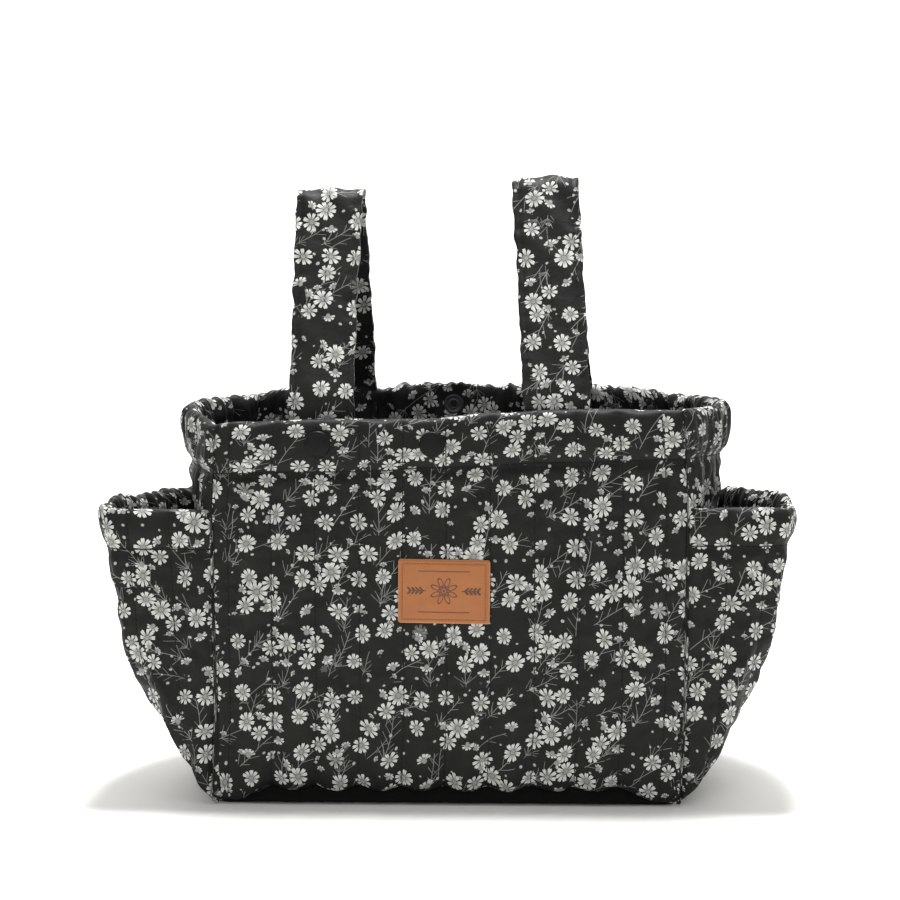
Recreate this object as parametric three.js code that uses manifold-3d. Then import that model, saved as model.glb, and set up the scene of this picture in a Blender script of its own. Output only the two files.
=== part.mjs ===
// A soft, free-standing diaper bag: an open-topped quilted tote with a gathered rim, an elastic-topped
// pocket on each side and two hanging straps that run from the front wall to the back wall.
// Each strap is sewn to one wall and pressed onto the other with a snap, so it opens round a pram bar.
// Millimetres, +Z up, the front faces -Y, and the origin is at the centre of the base.
import * as THREE from "three";
import { mergeVertices } from "three/addons/utils/BufferGeometryUtils.js";
import Module from "manifold-3d";

const wasm = await Module();
wasm.setup();

// ---------- Driving dimensions ----------
const PANEL_WIDTH = 278; // front and back panels, seam to seam
const RIM_WIDTH = 270; // the same at the gathered rim
const DEPTH = 140; // outside of the front panel to outside of the back panel
const HEIGHT = 236; // base to rim
const HEM_HEIGHT = 36; // rim to the stitch line of the top hem
const WAIST_Z = 180; // above this the panels narrow towards the rim
const SIDE_SWELL = 32; // how far a side panel bellies out at the rim
const SIDE_INSET = 9; // how far a side panel is tucked in at the base, under its pocket
const INSET_END_Z = 80; // where that tuck has run out
const GAP = 0.3; // between pieces that touch

// Depths of the layers in a wall, counted from its outer face.
const WALL = {
  shell: [0, 1], wadding: [1.3, 4.3], lining: [4.6, 5.4], elastic: [4.6, 5.6], flap: [5.9, 6.9],
};
const POCKET = {
  shell: [0, 0.8], wadding: [1.1, 3.1], lining: [3.4, 4.1], elastic: [3.4, 4.2], flap: [4.5, 5.3],
};
const BASE_THICKNESS = WALL.lining[1];
const BASE_CORNER = 8;
const WALL_FOOT_Z = BASE_THICKNESS + GAP;
const HEM_ELASTIC = { low: 227.5, high: 234 };

const POCKET_RIM_Z = 176;
const POCKET_HEM_HEIGHT = 23;
const POCKET_CORNER = { front: 26, back: 50 }; // largest corner radii of a pocket, seen from above
const CORNER_START = 1 / 7; // share of the way from a pocket's middle to its seam where the corner starts
const CORNER_END = 6 / 7; // and where it ends
const POCKET_ELASTIC = { low: 160, high: 170 };
// How far a pocket stands out from the side seam at each height: [z, reach].
const POCKET_REACH = [[0, 0.5], [30, 19], [74, 46], [110, 57], [POCKET_RIM_Z, 67]];
const SEAM_SQUEEZE = 0.45; // layers are pressed to this share of their thickness in the bottom seam
const SQUEEZE_END_Z = 30;

const STRAP_WIDTH = 38;
const STRAP_THICKNESS = 4.6;
const STRAP_COVER = 0.8;
const STRAP_TOP_Z = { left: 363, right: 367 }; // top of the fold, on the outside
const STRAP_FOLD_RADIUS = 9; // centreline radius of the fold
const STRAP_FREE_Y = 55.3; // centreline of the snapped end, from the bag's middle
const STRAP_SEWN_Y = 60.5; // centreline of the sewn end
const STRAP_END_Z = 206; // lower end, inside the bag
const STRAP_BEND_Z = 238; // where the snapped leg starts to lean in
const STRAP_HINGE_Z = 239.5; // where the strap bends at its sewn end
const SEWN_END_TOP_Z = 236.5;
const LEFT_STRAP_X = -75;
const RIGHT_STRAP_X = 61;
const RIGHT_STRAP_LEAN = THREE.MathUtils.degToRad(3.4);

const CAP_RADIUS = 7.5;
const CAP_HEIGHT = 2.2;
const POST_RADIUS = 1.8;
const POST_END = 0.9; // how far a post reaches into the stud or socket
const STUD_RADIUS = 6.4;
const HOLE_RADIUS = 2.3;
const STUD_HEIGHT = 3.4; // stands far enough in to meet a strap's socket
const SNAP_Z = 214.5;
const CLOSURE_X = { front: -9.5, back: -6.5 };
const CLOSURE_BACK_Z = 224; // the back wall's half sits nearer to the rim

const LABEL = { width: 53, height: 37.5, thickness: 1.4, corner: 1.2, x: -3, z: 129, tilt: -0.8 };

// ---------- Materials ----------
const material = (color, roughness, metalness = 0) =>
  new THREE.MeshStandardMaterial({ color, roughness, metalness });
const FLORAL = material(0x2b2b2b, 0.7); // black cloth with a pale flower print
const FILL = material(0xe8e6e0, 0.95);
const ELASTIC = material(0xd9d7d0, 0.9);
const SNAP = material(0x17181a, 0.45);
const SNAP_METAL = material(0x3a3a3c, 0.35, 0.8);
const LEATHER = material(0xb9804f, 0.6);

// ---------- Helpers ----------
const bag = new THREE.Group();

function add(name, geometry, look, parent = bag) {
  const mesh = new THREE.Mesh(geometry, look);
  mesh.name = name;
  parent.add(mesh);
  return mesh;
}

// The geometry with its faces pointing out, whichever way its outline ran.
function facingOut(vertices, triangles) {
  const [a, b, c] = [new THREE.Vector3(), new THREE.Vector3(), new THREE.Vector3()];
  let volume = 0;
  for (const [i, j, k] of triangles) {
    volume += a.copy(vertices[i]).dot(b.copy(vertices[j]).cross(c.copy(vertices[k])));
  }
  const index = triangles.flatMap(([i, j, k]) => (volume < 0 ? [i, k, j] : [i, j, k]));
  const geometry = new THREE.BufferGeometry().setFromPoints(vertices).setIndex(index);
  geometry.computeVertexNormals();
  return geometry;
}

// Sweeps a ribbon's cross-section sideways. Each rung is the section's [outer, inner] point at one place
// along the ribbon, as [depth, z], and place(u, depth, z) puts it in space for u from -1 to 1.
function sweep(rungs, steps, place) {
  const vertices = [];
  for (let i = 0; i <= steps; i++) {
    for (const [outer, inner] of rungs) {
      vertices.push(place((2 * i) / steps - 1, ...outer), place((2 * i) / steps - 1, ...inner));
    }
  }
  const last = rungs.length - 1;
  const at = (i, rung, side) => (i * rungs.length + rung) * 2 + side;
  const triangles = [];
  const quad = (p, q, r, s) => triangles.push([p, q, r], [p, r, s]);
  for (let i = 0; i < steps; i++) {
    for (let k = 0; k < last; k++) {
      quad(at(i, k, 0), at(i + 1, k, 0), at(i + 1, k + 1, 0), at(i, k + 1, 0));
      quad(at(i, k, 1), at(i, k + 1, 1), at(i + 1, k + 1, 1), at(i + 1, k, 1));
    }
    quad(at(i, 0, 0), at(i, 0, 1), at(i + 1, 0, 1), at(i + 1, 0, 0));
    quad(at(i, last, 0), at(i + 1, last, 0), at(i + 1, last, 1), at(i, last, 1));
  }
  for (let k = 0; k < last; k++) {
    quad(at(0, k, 0), at(0, k + 1, 0), at(0, k + 1, 1), at(0, k, 1));
    quad(at(steps, k, 0), at(steps, k, 1), at(steps, k + 1, 1), at(steps, k + 1, 0));
  }
  return facingOut(vertices, triangles);
}

// A plain layer between two heights, with a rung at each level.
const layer = ([near, far], levels) => levels.map((z) => [[near, z], [far, z]]);

// A shell that folds over at the rim and comes down inside as the hem's flap.
function hemmed(layers, levels, rim, hemHeight) {
  const [near, far] = layers.shell;
  const [flapNear, flapFar] = layers.flap;
  const skin = far - near;
  return [
    ...layer(layers.shell, levels.filter((z) => z < rim)),
    [[near, rim], [far, rim - skin]],
    [[flapFar, rim], [flapNear, rim - skin]],
    [[flapFar, rim - hemHeight], [flapNear, rim - hemHeight]],
  ];
}

function solidOf(geometry) {
  const bare = geometry.index ? geometry.clone() : mergeVertices(geometry.clone());
  bare.deleteAttribute("normal");
  bare.deleteAttribute("uv");
  const merged = mergeVertices(bare, 1e-4);
  const mesh = new wasm.Mesh({
    numProp: 3,
    vertProperties: merged.attributes.position.array,
    triVerts: new Uint32Array(merged.index.array),
  });
  return new wasm.Manifold(mesh);
}

function geometryOf(solid) {
  const mesh = solid.getMesh();
  const geometry = new THREE.BufferGeometry();
  geometry.setAttribute("position", new THREE.BufferAttribute(mesh.vertProperties, 3));
  geometry.setIndex(new THREE.BufferAttribute(mesh.triVerts, 1));
  geometry.computeVertexNormals();
  return geometry;
}

// Punches the holes of the snap posts, which run along Y, at [x, z]. The punch only reaches one wall,
// because span says which stretch of Y it covers.
function punched(geometry, holes, [fromY, toY]) {
  const cuts = holes.map(([x, z]) => {
    const punch = new THREE.CylinderGeometry(HOLE_RADIUS, HOLE_RADIUS, toY - fromY, 12);
    return solidOf(punch.translate(x, (fromY + toY) / 2, z));
  });
  return geometryOf(cuts.reduce((solid, cut) => solid.subtract(cut), solidOf(geometry)));
}

function roundedRectangle(width, height, corner) {
  const [w, h] = [width / 2, height / 2];
  const outline = new THREE.Shape();
  outline.moveTo(-w + corner, -h);
  outline.lineTo(w - corner, -h);
  outline.absarc(w - corner, -h + corner, corner, -Math.PI / 2, 0);
  outline.lineTo(w, h - corner);
  outline.absarc(w - corner, h - corner, corner, 0, Math.PI / 2);
  outline.lineTo(-w + corner, h);
  outline.absarc(-w + corner, h - corner, corner, Math.PI / 2, Math.PI);
  outline.lineTo(-w, -h + corner);
  outline.absarc(-w + corner, -h + corner, corner, Math.PI, 1.5 * Math.PI);
  return outline;
}

// ---------- Shape of the bag ----------
function halfWidth(z) {
  const narrowing = THREE.MathUtils.clamp((z - WAIST_Z) / (HEIGHT - WAIST_Z), 0, 1);
  return (PANEL_WIDTH - (PANEL_WIDTH - RIM_WIDTH) * narrowing) / 2;
}

// Outer face of the right side panel.
function sideX(y, z) {
  const inset = SIDE_INSET * Math.max(0, 1 - z / INSET_END_Z);
  return halfWidth(z) - inset + ((SIDE_SWELL * z) / HEIGHT) * Math.cos((Math.PI * y) / DEPTH);
}

function pocketReach(z) {
  const after = Math.max(1, POCKET_REACH.findIndex(([height]) => height >= z));
  const [z1, r1] = POCKET_REACH[after];
  const [z0, r0] = POCKET_REACH[after - 1];
  return THREE.MathUtils.mapLinear(z, z0, z1, r0, r1);
}

// ---------- Walls ----------
const frontPlace = (u, depth, z) => new THREE.Vector3(u * halfWidth(z), -DEPTH / 2 + depth, z);

function sidePlace(u, depth, z) {
  const y = u * (DEPTH / 2 - WALL.flap[1] - GAP);
  return new THREE.Vector3(sideX(y, z) - depth, y, z);
}

// One wall's pieces. The front and right walls are made in place, and those opposite are turned half round.
function buildWall(name, place, steps, turned, holes) {
  const group = new THREE.Group();
  group.rotation.z = turned ? Math.PI : 0;
  bag.add(group);
  const liningTop = HEIGHT - HEM_HEIGHT - GAP;
  // Every layer has the same levels, so that their facets stay parallel.
  const levels = [WALL_FOOT_Z, INSET_END_Z, WAIST_Z, liningTop, HEM_ELASTIC.low, HEM_ELASTIC.high, HEIGHT];
  const wallSpan = [-DEPTH / 2 - 1, -DEPTH / 2 + WALL.flap[1] + 1];
  const cut = (rungs) => {
    const geometry = sweep(rungs, steps, place);
    return holes.length ? punched(geometry, holes, wallSpan) : geometry;
  };
  const waddingTop = HEIGHT - WALL.shell[1] - GAP;
  const below = (top) => [...levels.filter((z) => z < top), top];
  add(`${name}_shell`, cut(hemmed(WALL, levels, HEIGHT, HEM_HEIGHT)), FLORAL, group);
  add(`${name}_wadding`, cut(layer(WALL.wadding, below(waddingTop))), FILL, group);
  add(`${name}_lining`, sweep(layer(WALL.lining, below(liningTop)), steps, place), FLORAL, group);
  return group;
}

function buildHemElastic(name, place, steps, group) {
  const rungs = layer(WALL.elastic, [HEM_ELASTIC.low, HEM_ELASTIC.high]);
  add(name, sweep(rungs, steps, place), ELASTIC, group);
}

const FLAT_STEPS = 2;
const SIDE_STEPS = 8;
// Where the leaning right strap's snap comes, a little off the middle of its sewn end.
const RIGHT_SNAP_X = RIGHT_STRAP_X + (STRAP_HINGE_Z - SNAP_Z) * Math.sin(RIGHT_STRAP_LEAN);
const RIGHT_SNAP_Z = STRAP_HINGE_Z - (STRAP_HINGE_Z - SNAP_Z) * Math.cos(RIGHT_STRAP_LEAN);
buildWall("front", frontPlace, FLAT_STEPS, false, [[CLOSURE_X.front, SNAP_Z], [LEFT_STRAP_X, SNAP_Z]]);
const backHoles = [[-CLOSURE_X.back, CLOSURE_BACK_Z], [-RIGHT_SNAP_X, RIGHT_SNAP_Z]];
const backWall = buildWall("back", frontPlace, FLAT_STEPS, true, backHoles);
const rightWall = buildWall("right_side", sidePlace, SIDE_STEPS, false, []);
const leftWall = buildWall("left_side", sidePlace, SIDE_STEPS, true, []);
buildHemElastic("back_hem_elastic", frontPlace, FLAT_STEPS, backWall);
buildHemElastic("right_hem_elastic", sidePlace, SIDE_STEPS, rightWall);
buildHemElastic("left_hem_elastic", sidePlace, SIDE_STEPS, leftWall);

// ---------- Base ----------
function buildBase() {
  const outline = roundedRectangle(PANEL_WIDTH, DEPTH, BASE_CORNER);
  const slab = (name, [low, high], look) => {
    const options = { depth: high - low, bevelEnabled: false, curveSegments: 3 };
    add(name, new THREE.ExtrudeGeometry(outline, options).translate(0, 0, low), look);
  };
  slab("base_shell", WALL.shell, FLORAL);
  slab("base_wadding", WALL.wadding, FILL);
  slab("base_lining", WALL.lining, FLORAL);
}
buildBase();

// ---------- Side pockets ----------
const POCKET_STEPS = 14; // matches the shares of the way at which the corners start and end

// Seen from above, the right pocket runs out from the front seam, round two corners and back in again.
// u runs from -1 at the front seam to 1 at the back seam, with 0 at the middle of the outside. The left
// pocket is the same, mirrored from front to back here, because its group is turned half round.
function pocketPlace(side, u, depth, z) {
  const level = Math.min(z, SQUEEZE_END_Z);
  const squeeze = THREE.MathUtils.mapLinear(level, WALL_FOOT_Z, SQUEEZE_END_Z, SEAM_SQUEEZE, 1);
  const inward = depth * squeeze;
  const reach = pocketReach(z);
  const atFront = side === "right" ? u < 0 : u > 0;
  const corner = Math.min(0.95 * reach, atFront ? POCKET_CORNER.front : POCKET_CORNER.back);
  const seamX = halfWidth(z) + GAP;
  const straightY = DEPTH / 2 - corner;
  const share = Math.abs(u);
  const bend = THREE.MathUtils.clamp((share - CORNER_START) / (CORNER_END - CORNER_START), 0, 1);
  const turn = bend * (Math.PI / 2);
  const run = Math.max(0, (share - CORNER_END) / (1 - CORNER_END)) * (reach - corner);
  const x = seamX + reach - corner + (corner - inward) * Math.cos(turn) - run;
  const y = Math.min(1, share / CORNER_START) * straightY + (corner - inward) * Math.sin(turn);
  return new THREE.Vector3(x, Math.sign(u) * y, z);
}

function buildPocket(side) {
  const group = new THREE.Group();
  group.rotation.z = side === "right" ? 0 : Math.PI;
  bag.add(group);
  const levels = [WALL_FOOT_Z, ...POCKET_REACH.map(([z]) => z).filter((z) => z > WALL_FOOT_Z)];
  const below = (top) => [...levels.filter((z) => z < top), top];
  const place = (u, depth, z) => pocketPlace(side, u, depth, z);
  const ply = (name, rungs, look) =>
    add(`${side}_pocket_${name}`, sweep(rungs, POCKET_STEPS, place), look, group);
  ply("shell", hemmed(POCKET, levels, POCKET_RIM_Z, POCKET_HEM_HEIGHT), FLORAL);
  ply("wadding", layer(POCKET.wadding, below(POCKET_RIM_Z - POCKET.shell[1] - GAP)), FILL);
  ply("lining", layer(POCKET.lining, below(POCKET_RIM_Z - POCKET_HEM_HEIGHT - GAP)), FLORAL);
  ply("elastic", layer(POCKET.elastic, [POCKET_ELASTIC.low, POCKET_ELASTIC.high]), ELASTIC);
}
buildPocket("right");
buildPocket("left");

// ---------- Snaps: turned pieces about the Y axis ----------
const turned = (points, segments = 16) =>
  new THREE.LatheGeometry(points.map(([r, h]) => new THREE.Vector2(r, h)), segments);

// A cap with its post. The cap's flat back is at y = 0, its dome faces -Y and its post runs to +Y.
function capGeometry(postLength) {
  return turned([
    [0, -CAP_HEIGHT], [5.2, -CAP_HEIGHT + 0.25], [CAP_RADIUS, -1], [CAP_RADIUS, 0], [POST_RADIUS, 0],
    [POST_RADIUS, postLength], [0, postLength],
  ]);
}

// A stud and a socket both sit with their back at y = 0 and face +Y.
function studGeometry() {
  const bore = POST_RADIUS + GAP;
  const flange = [[bore, 0], [STUD_RADIUS, 0], [STUD_RADIUS, 1], [3.3, 1]];
  return turned([...flange, [3, STUD_HEIGHT], [bore, STUD_HEIGHT], [bore, 0]]);
}

function socketGeometry() {
  const bore = POST_RADIUS + GAP;
  return turned([
    [bore, 0], [STUD_RADIUS, 0], [STUD_RADIUS, 1.2], [4.8, 1.2], [4.4, 0.7], [bore, 0.7], [bore, 0],
  ]);
}

// A cap outside a cloth of the given thickness and a stud or socket inside it. The group's +Y runs from
// the cap to the stud, with y = 0 on the cloth's cap side.
function buildSnap(capName, innerName, innerGeometry, thickness) {
  const group = new THREE.Group();
  add(capName, capGeometry(thickness + 2 * GAP + POST_END).translate(0, -GAP, 0), SNAP, group);
  add(innerName, innerGeometry.translate(0, thickness + GAP, 0), SNAP_METAL, group);
  return group;
}

function placeSnap(snap, x, y, z, halfTurn) {
  snap.position.set(x, y, z);
  snap.rotation.z = halfTurn ? Math.PI : 0;
  return snap;
}

const WALL_THICKNESS = WALL.flap[1];
const closureFront = buildSnap("closure_front_cap", "closure_stud", studGeometry(), WALL_THICKNESS);
bag.add(placeSnap(closureFront, CLOSURE_X.front, -DEPTH / 2, SNAP_Z, false));
const closureBack = buildSnap("closure_back_cap", "closure_socket", socketGeometry(), WALL_THICKNESS);
bag.add(placeSnap(closureBack, CLOSURE_X.back, DEPTH / 2, CLOSURE_BACK_Z, true));
const leftWallSnap = buildSnap("left_strap_wall_cap", "left_strap_stud", studGeometry(), WALL_THICKNESS);
bag.add(placeSnap(leftWallSnap, LEFT_STRAP_X, -DEPTH / 2, SNAP_Z, false));
const rightWallSnap = buildSnap("right_strap_wall_cap", "right_strap_stud", studGeometry(), WALL_THICKNESS);
bag.add(placeSnap(rightWallSnap, RIGHT_SNAP_X, DEPTH / 2, RIGHT_SNAP_Z, true));

// ---------- Straps ----------
// Where a line from a point touches the fold's circle, on the side that the sign picks.
function tangentPoint(from, centre, radius, sign) {
  const away = new THREE.Vector2().subVectors(from, centre);
  const angle = away.angle() + sign * Math.acos(radius / away.length());
  return new THREE.Vector2(centre.x + radius * Math.cos(angle), centre.y + radius * Math.sin(angle));
}

// The strap's centreline as [y, z] points, from the snapped end over the fold to the sewn end.
function strapCentreline(side) {
  const topZ = STRAP_TOP_Z[side] - STRAP_THICKNESS / 2;
  const centre = new THREE.Vector2(0, topZ - STRAP_FOLD_RADIUS);
  const bend = new THREE.Vector2(-STRAP_FREE_Y, STRAP_BEND_Z);
  const hinge = new THREE.Vector2(STRAP_SEWN_Y, STRAP_HINGE_Z + 0.8);
  const rise = tangentPoint(bend, centre, STRAP_FOLD_RADIUS, -1);
  const fall = tangentPoint(hinge, centre, STRAP_FOLD_RADIUS, 1);
  const startAngle = Math.atan2(rise.y - centre.y, rise.x - centre.x);
  const endAngle = Math.atan2(fall.y - centre.y, fall.x - centre.x);
  const points = [new THREE.Vector2(-STRAP_FREE_Y, STRAP_END_Z), bend];
  const FOLD_STEPS = 8;
  for (let i = 0; i <= FOLD_STEPS; i++) {
    const angle = startAngle + ((endAngle - startAngle) * i) / FOLD_STEPS;
    const spoke = new THREE.Vector2(Math.cos(angle), Math.sin(angle)).multiplyScalar(STRAP_FOLD_RADIUS);
    points.push(spoke.add(centre));
  }
  points.push(hinge);
  return points;
}

// Rungs of the layer between two offsets from the centreline, where + is the outside of the arch.
function strapLayer(points, outer, inner) {
  return points.map((point, i) => {
    const before = points[Math.max(0, i - 1)];
    const after = points[Math.min(points.length - 1, i + 1)];
    const along = new THREE.Vector2().subVectors(after, before).normalize();
    const out = new THREE.Vector2(-along.y, along.x);
    const offset = (distance) => [point.x + out.x * distance, point.y + out.y * distance];
    return [offset(outer), offset(inner)];
  });
}

// A strap whose snapped end is at the front. The group's own x = 0 is the strap's middle.
function buildStrap(side) {
  const group = new THREE.Group();
  const moving = new THREE.Group();
  const half = STRAP_THICKNESS / 2;
  const across = (u, y, z) => new THREE.Vector3((u * STRAP_WIDTH) / 2, y, z);
  const freeEnd = [-STRAP_FREE_Y - half - 1, -STRAP_FREE_Y + half + 1];
  const points = strapCentreline(side);
  const snapHole = [[0, SNAP_Z]];
  const ply = (outer, inner) =>
    punched(sweep(strapLayer(points, outer, inner), 1, across), snapHole, freeEnd);
  const core = half - STRAP_COVER - GAP;
  add(`${side}_strap_outer_cover`, ply(half, half - STRAP_COVER), FLORAL, moving);
  add(`${side}_strap_wadding`, ply(core, -core), FILL, moving);
  add(`${side}_strap_inner_cover`, ply(-half + STRAP_COVER, -half), FLORAL, moving);
  const snap = buildSnap(`${side}_strap_snap_cap`, `${side}_strap_socket`, socketGeometry(), STRAP_THICKNESS);
  moving.add(placeSnap(snap, 0, -STRAP_FREE_Y + half, SNAP_Z, true));
  const sewnEnd = new THREE.BoxGeometry(STRAP_WIDTH, STRAP_THICKNESS, SEWN_END_TOP_Z - STRAP_END_Z);
  sewnEnd.translate(0, STRAP_SEWN_Y, (SEWN_END_TOP_Z + STRAP_END_Z) / 2);
  add(`${side}_strap_sewn_end`, sewnEnd, FLORAL, group);
  group.add(moving);
  return { group, moving };
}

const leftStrap = buildStrap("left");
leftStrap.group.position.x = LEFT_STRAP_X;
bag.add(leftStrap.group);

// The right strap is the same piece turned half round, so it is sewn in front and snapped behind.
// It leans towards the middle of the bag, about its sewn end.
const rightStrap = buildStrap("right");
rightStrap.group.position.x = RIGHT_STRAP_X;
rightStrap.group.rotation.z = Math.PI;
const leanPivot = new THREE.Vector3(0, 0, STRAP_HINGE_Z);
const lean = new THREE.Quaternion().setFromAxisAngle(new THREE.Vector3(0, 1, 0), RIGHT_STRAP_LEAN);
rightStrap.moving.quaternion.copy(lean);
rightStrap.moving.position.copy(leanPivot.clone().sub(leanPivot.clone().applyQuaternion(lean)));
bag.add(rightStrap.group);

// ---------- Leather label on the front ----------
function buildLabel() {
  const outline = roundedRectangle(LABEL.width, LABEL.height, LABEL.corner);
  const options = { depth: LABEL.thickness, bevelEnabled: false, curveSegments: 3 };
  const geometry = new THREE.ExtrudeGeometry(outline, options);
  geometry.rotateZ(THREE.MathUtils.degToRad(LABEL.tilt));
  geometry.rotateX(Math.PI / 2);
  geometry.translate(LABEL.x, -DEPTH / 2 - GAP, LABEL.z);
  add("leather_label", geometry, LEATHER);
}
buildLabel();

export default bag;
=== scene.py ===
import math

import bmesh
import bpy
import numpy as np
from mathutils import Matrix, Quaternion, Vector
from mathutils.bvhtree import BVHTree


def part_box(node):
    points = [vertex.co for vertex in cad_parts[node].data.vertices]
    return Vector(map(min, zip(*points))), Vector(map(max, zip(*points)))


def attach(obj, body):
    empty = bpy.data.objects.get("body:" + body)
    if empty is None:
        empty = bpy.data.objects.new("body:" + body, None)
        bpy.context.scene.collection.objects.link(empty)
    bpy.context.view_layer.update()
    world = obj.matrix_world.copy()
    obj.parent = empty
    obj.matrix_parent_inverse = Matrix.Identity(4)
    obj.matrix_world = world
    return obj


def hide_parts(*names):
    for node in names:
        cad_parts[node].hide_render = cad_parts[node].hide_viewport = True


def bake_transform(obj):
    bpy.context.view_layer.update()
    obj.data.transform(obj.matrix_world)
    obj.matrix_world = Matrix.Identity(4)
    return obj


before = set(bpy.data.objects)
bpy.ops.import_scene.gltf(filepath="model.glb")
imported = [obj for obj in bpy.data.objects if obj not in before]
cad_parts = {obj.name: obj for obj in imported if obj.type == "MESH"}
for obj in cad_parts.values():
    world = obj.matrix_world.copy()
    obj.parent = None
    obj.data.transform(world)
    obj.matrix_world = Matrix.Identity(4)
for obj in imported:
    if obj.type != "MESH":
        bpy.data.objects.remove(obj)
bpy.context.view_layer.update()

MM = 0.001


def node_box(node):
    """A CAD node's lowest and highest corners, in millimetres."""
    low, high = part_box(node)
    return np.array(low) / MM, np.array(high) / MM


# ---------------------------------------------------------------- measures, in millimetres
_, FRONT_HIGH = node_box("front_shell")
HALF_DEPTH = node_box("back_shell")[1][1]
HALF_PANEL = FRONT_HIGH[0]  # half the width of the front, as far up as the waist
HALF_RIM = HALF_PANEL - 4.0  # the rim is drawn in a little
RIM_Z = FRONT_HIGH[2]
HEM_Z = node_box("front_lining")[1][2] + 0.3  # the height of the hem's stitches
WAIST_Z = 180.0  # the bag narrows from here up
SIDE_SPAN = 68.6  # half the side walls' run from seam to seam
SIDE_SWELL = 30.0  # how far a side wall bows out at the rim
SIDE_INSET = 9.0  # how far in its foot stands
INSET_END_Z = 80.0  # the height at which it stands in no longer
POCKET_RIM_Z = node_box("left_pocket_shell")[1][2]
POCKET_HEM_Z = POCKET_RIM_Z - 23.0
# how far a pocket reaches out, by height
POCKET_REACH = ((0, 0.5), (15, 9.8), (30, 19.5), (52, 32.5), (74, 44.5), (92, 50.5), (110, 54.5), (145, 60.5),
                (176, 66.5))
POCKET_LENGTH = 236.0
SWEEP_POWER = 1.25  # how square a pocket turns towards its back seam
TUCK_Z = 14.0  # a pocket's bottom curls in from this height down
CHANNEL = 25.4  # from one quilting line to the next
QUILT_SHIFT = -1.6  # the lines lie this far off the middle of the front and back
WALL_THICK = 5.4
POCKET_THICK = 3.8
FEET_START, FEET_END = 108.0, 124.0  # the ends of the front's foot stand on the floor from here outwards
CAP_HEIGHT = 2.2  # a snap cap stands this far off the cloth
STRAP_HALF = 19.0  # half a strap's width
STRAP_LEAN = math.radians(3.9)  # how far the right strap leans
LEAN_Z = 239.5  # the height it leans about
STITCH_PITCH = 2.9  # from one stitch to the next

# the cloth simulation
SIM_FRAMES = 12
MOST_PUFF = 1.7  # the most that it may move the cloth


# ---------------------------------------------------------------- small maths


def smooth(x, low, high):
    t = np.clip((x - low) / (high - low), 0.0, 1.0)
    return t * t * (3 - 2 * t)


def bell(x, width):
    return np.exp(-((x / width) ** 2))


def ripple(x, seed, wavelength):
    """A wave of about unit height whose crests wander, as in gathered cloth."""
    own = np.random.default_rng(seed)
    phase = 2 * math.pi * x / wavelength
    for k in (0.31, 0.17, 0.53):
        phase = phase + 1.05 * np.sin(2 * math.pi * x / (wavelength / k) + own.uniform(0, 6.28)) / (1 + k)
    swell = 1.0 + 0.3 * np.sin(2 * math.pi * x / (wavelength * 4.3) + own.uniform(0, 6.28))
    return np.sin(phase) * swell


def wander(x, y, seed, scale, count=7):
    """Smooth noise of about unit height over a surface."""
    own = np.random.default_rng(seed)
    total = 0.0
    for _ in range(count):
        angle = own.uniform(0, math.pi)
        k = 2 * math.pi / (scale * own.uniform(0.7, 1.6))
        total = total + np.sin(k * (x * math.cos(angle) + y * math.sin(angle)) + own.uniform(0, 6.28))
    return total / math.sqrt(count)


def eased(*pairs):
    """A function that eases from each (place, value) to the next."""
    places, values = np.array(pairs, float).T

    def value(x):
        k = np.clip(np.searchsorted(places, x) - 1, 0, len(places) - 2)
        t = smooth(x, places[k], places[k + 1])
        return values[k] * (1 - t) + values[k + 1] * t

    return value


# ---------------------------------------------------------------- base surfaces
# s runs from -1 to 1 across the cloth, and z up along it


def half_width(z):
    return HALF_PANEL - (HALF_PANEL - HALF_RIM) * np.clip((z - WAIST_Z) / (RIM_Z - WAIST_Z), 0, 1)


def turned_under(z, radius, foot):
    """How far in and how high the cloth lies when its lowest part rolls under."""
    sweep = 1.3
    arc = radius * sweep
    angle = np.clip((arc - z) / radius, 0, sweep)
    centre = foot + radius * math.sin(sweep)
    height = np.where(z < arc, centre - radius * np.sin(angle), centre + z - arc)
    return radius * (1 - np.cos(angle)), height - (centre - arc) * smooth(z, 18, 80)


def foot_shift(z):
    """The whole foot of the bag stands a little to the left of its top."""
    return -2.6 * (1 - smooth(z, 0, 70))


def front_surface(s, z):
    x = s * half_width(z)
    belly = 2.0 * np.sin(np.pi * np.clip(z / RIM_Z, 0, 1)) ** 1.2
    round_corner = 0.7 * np.abs(s) ** 36
    channel = np.cos(2 * np.pi * (x - QUILT_SHIFT) / CHANNEL) * 0.5 + 0.5
    on_foot = smooth(np.abs(x), FEET_START, FEET_END)
    # the foot rolls under in a wide curl, raised off the floor and scalloped by the quilting, between its two ends
    radius = 17.0 * (1 - on_foot) + 4.0 * on_foot
    foot = (7.0 - 2.2 * (1 - channel)) * (1 - on_foot) + 0.25 * on_foot
    back, height = turned_under(z, radius, foot)
    return np.stack([x, -HALF_DEPTH + 1.2 + round_corner - belly * (1 - s**2) + back, height], -1)


def back_surface(s, z):
    """The front turned round, with its rim drawn in by the elastic and its top corners pulled."""
    p = front_surface(s, z)
    pulled = np.exp(-((1 - np.abs(s)) / 0.13)) * smooth(z, 150, RIM_Z)
    y = -p[..., 1] - 6.0 * pulled - 2.7 * smooth(z, 205, RIM_Z)
    return np.stack([-p[..., 0] * (1 - 0.02 * pulled), y, p[..., 2]], -1)


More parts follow.
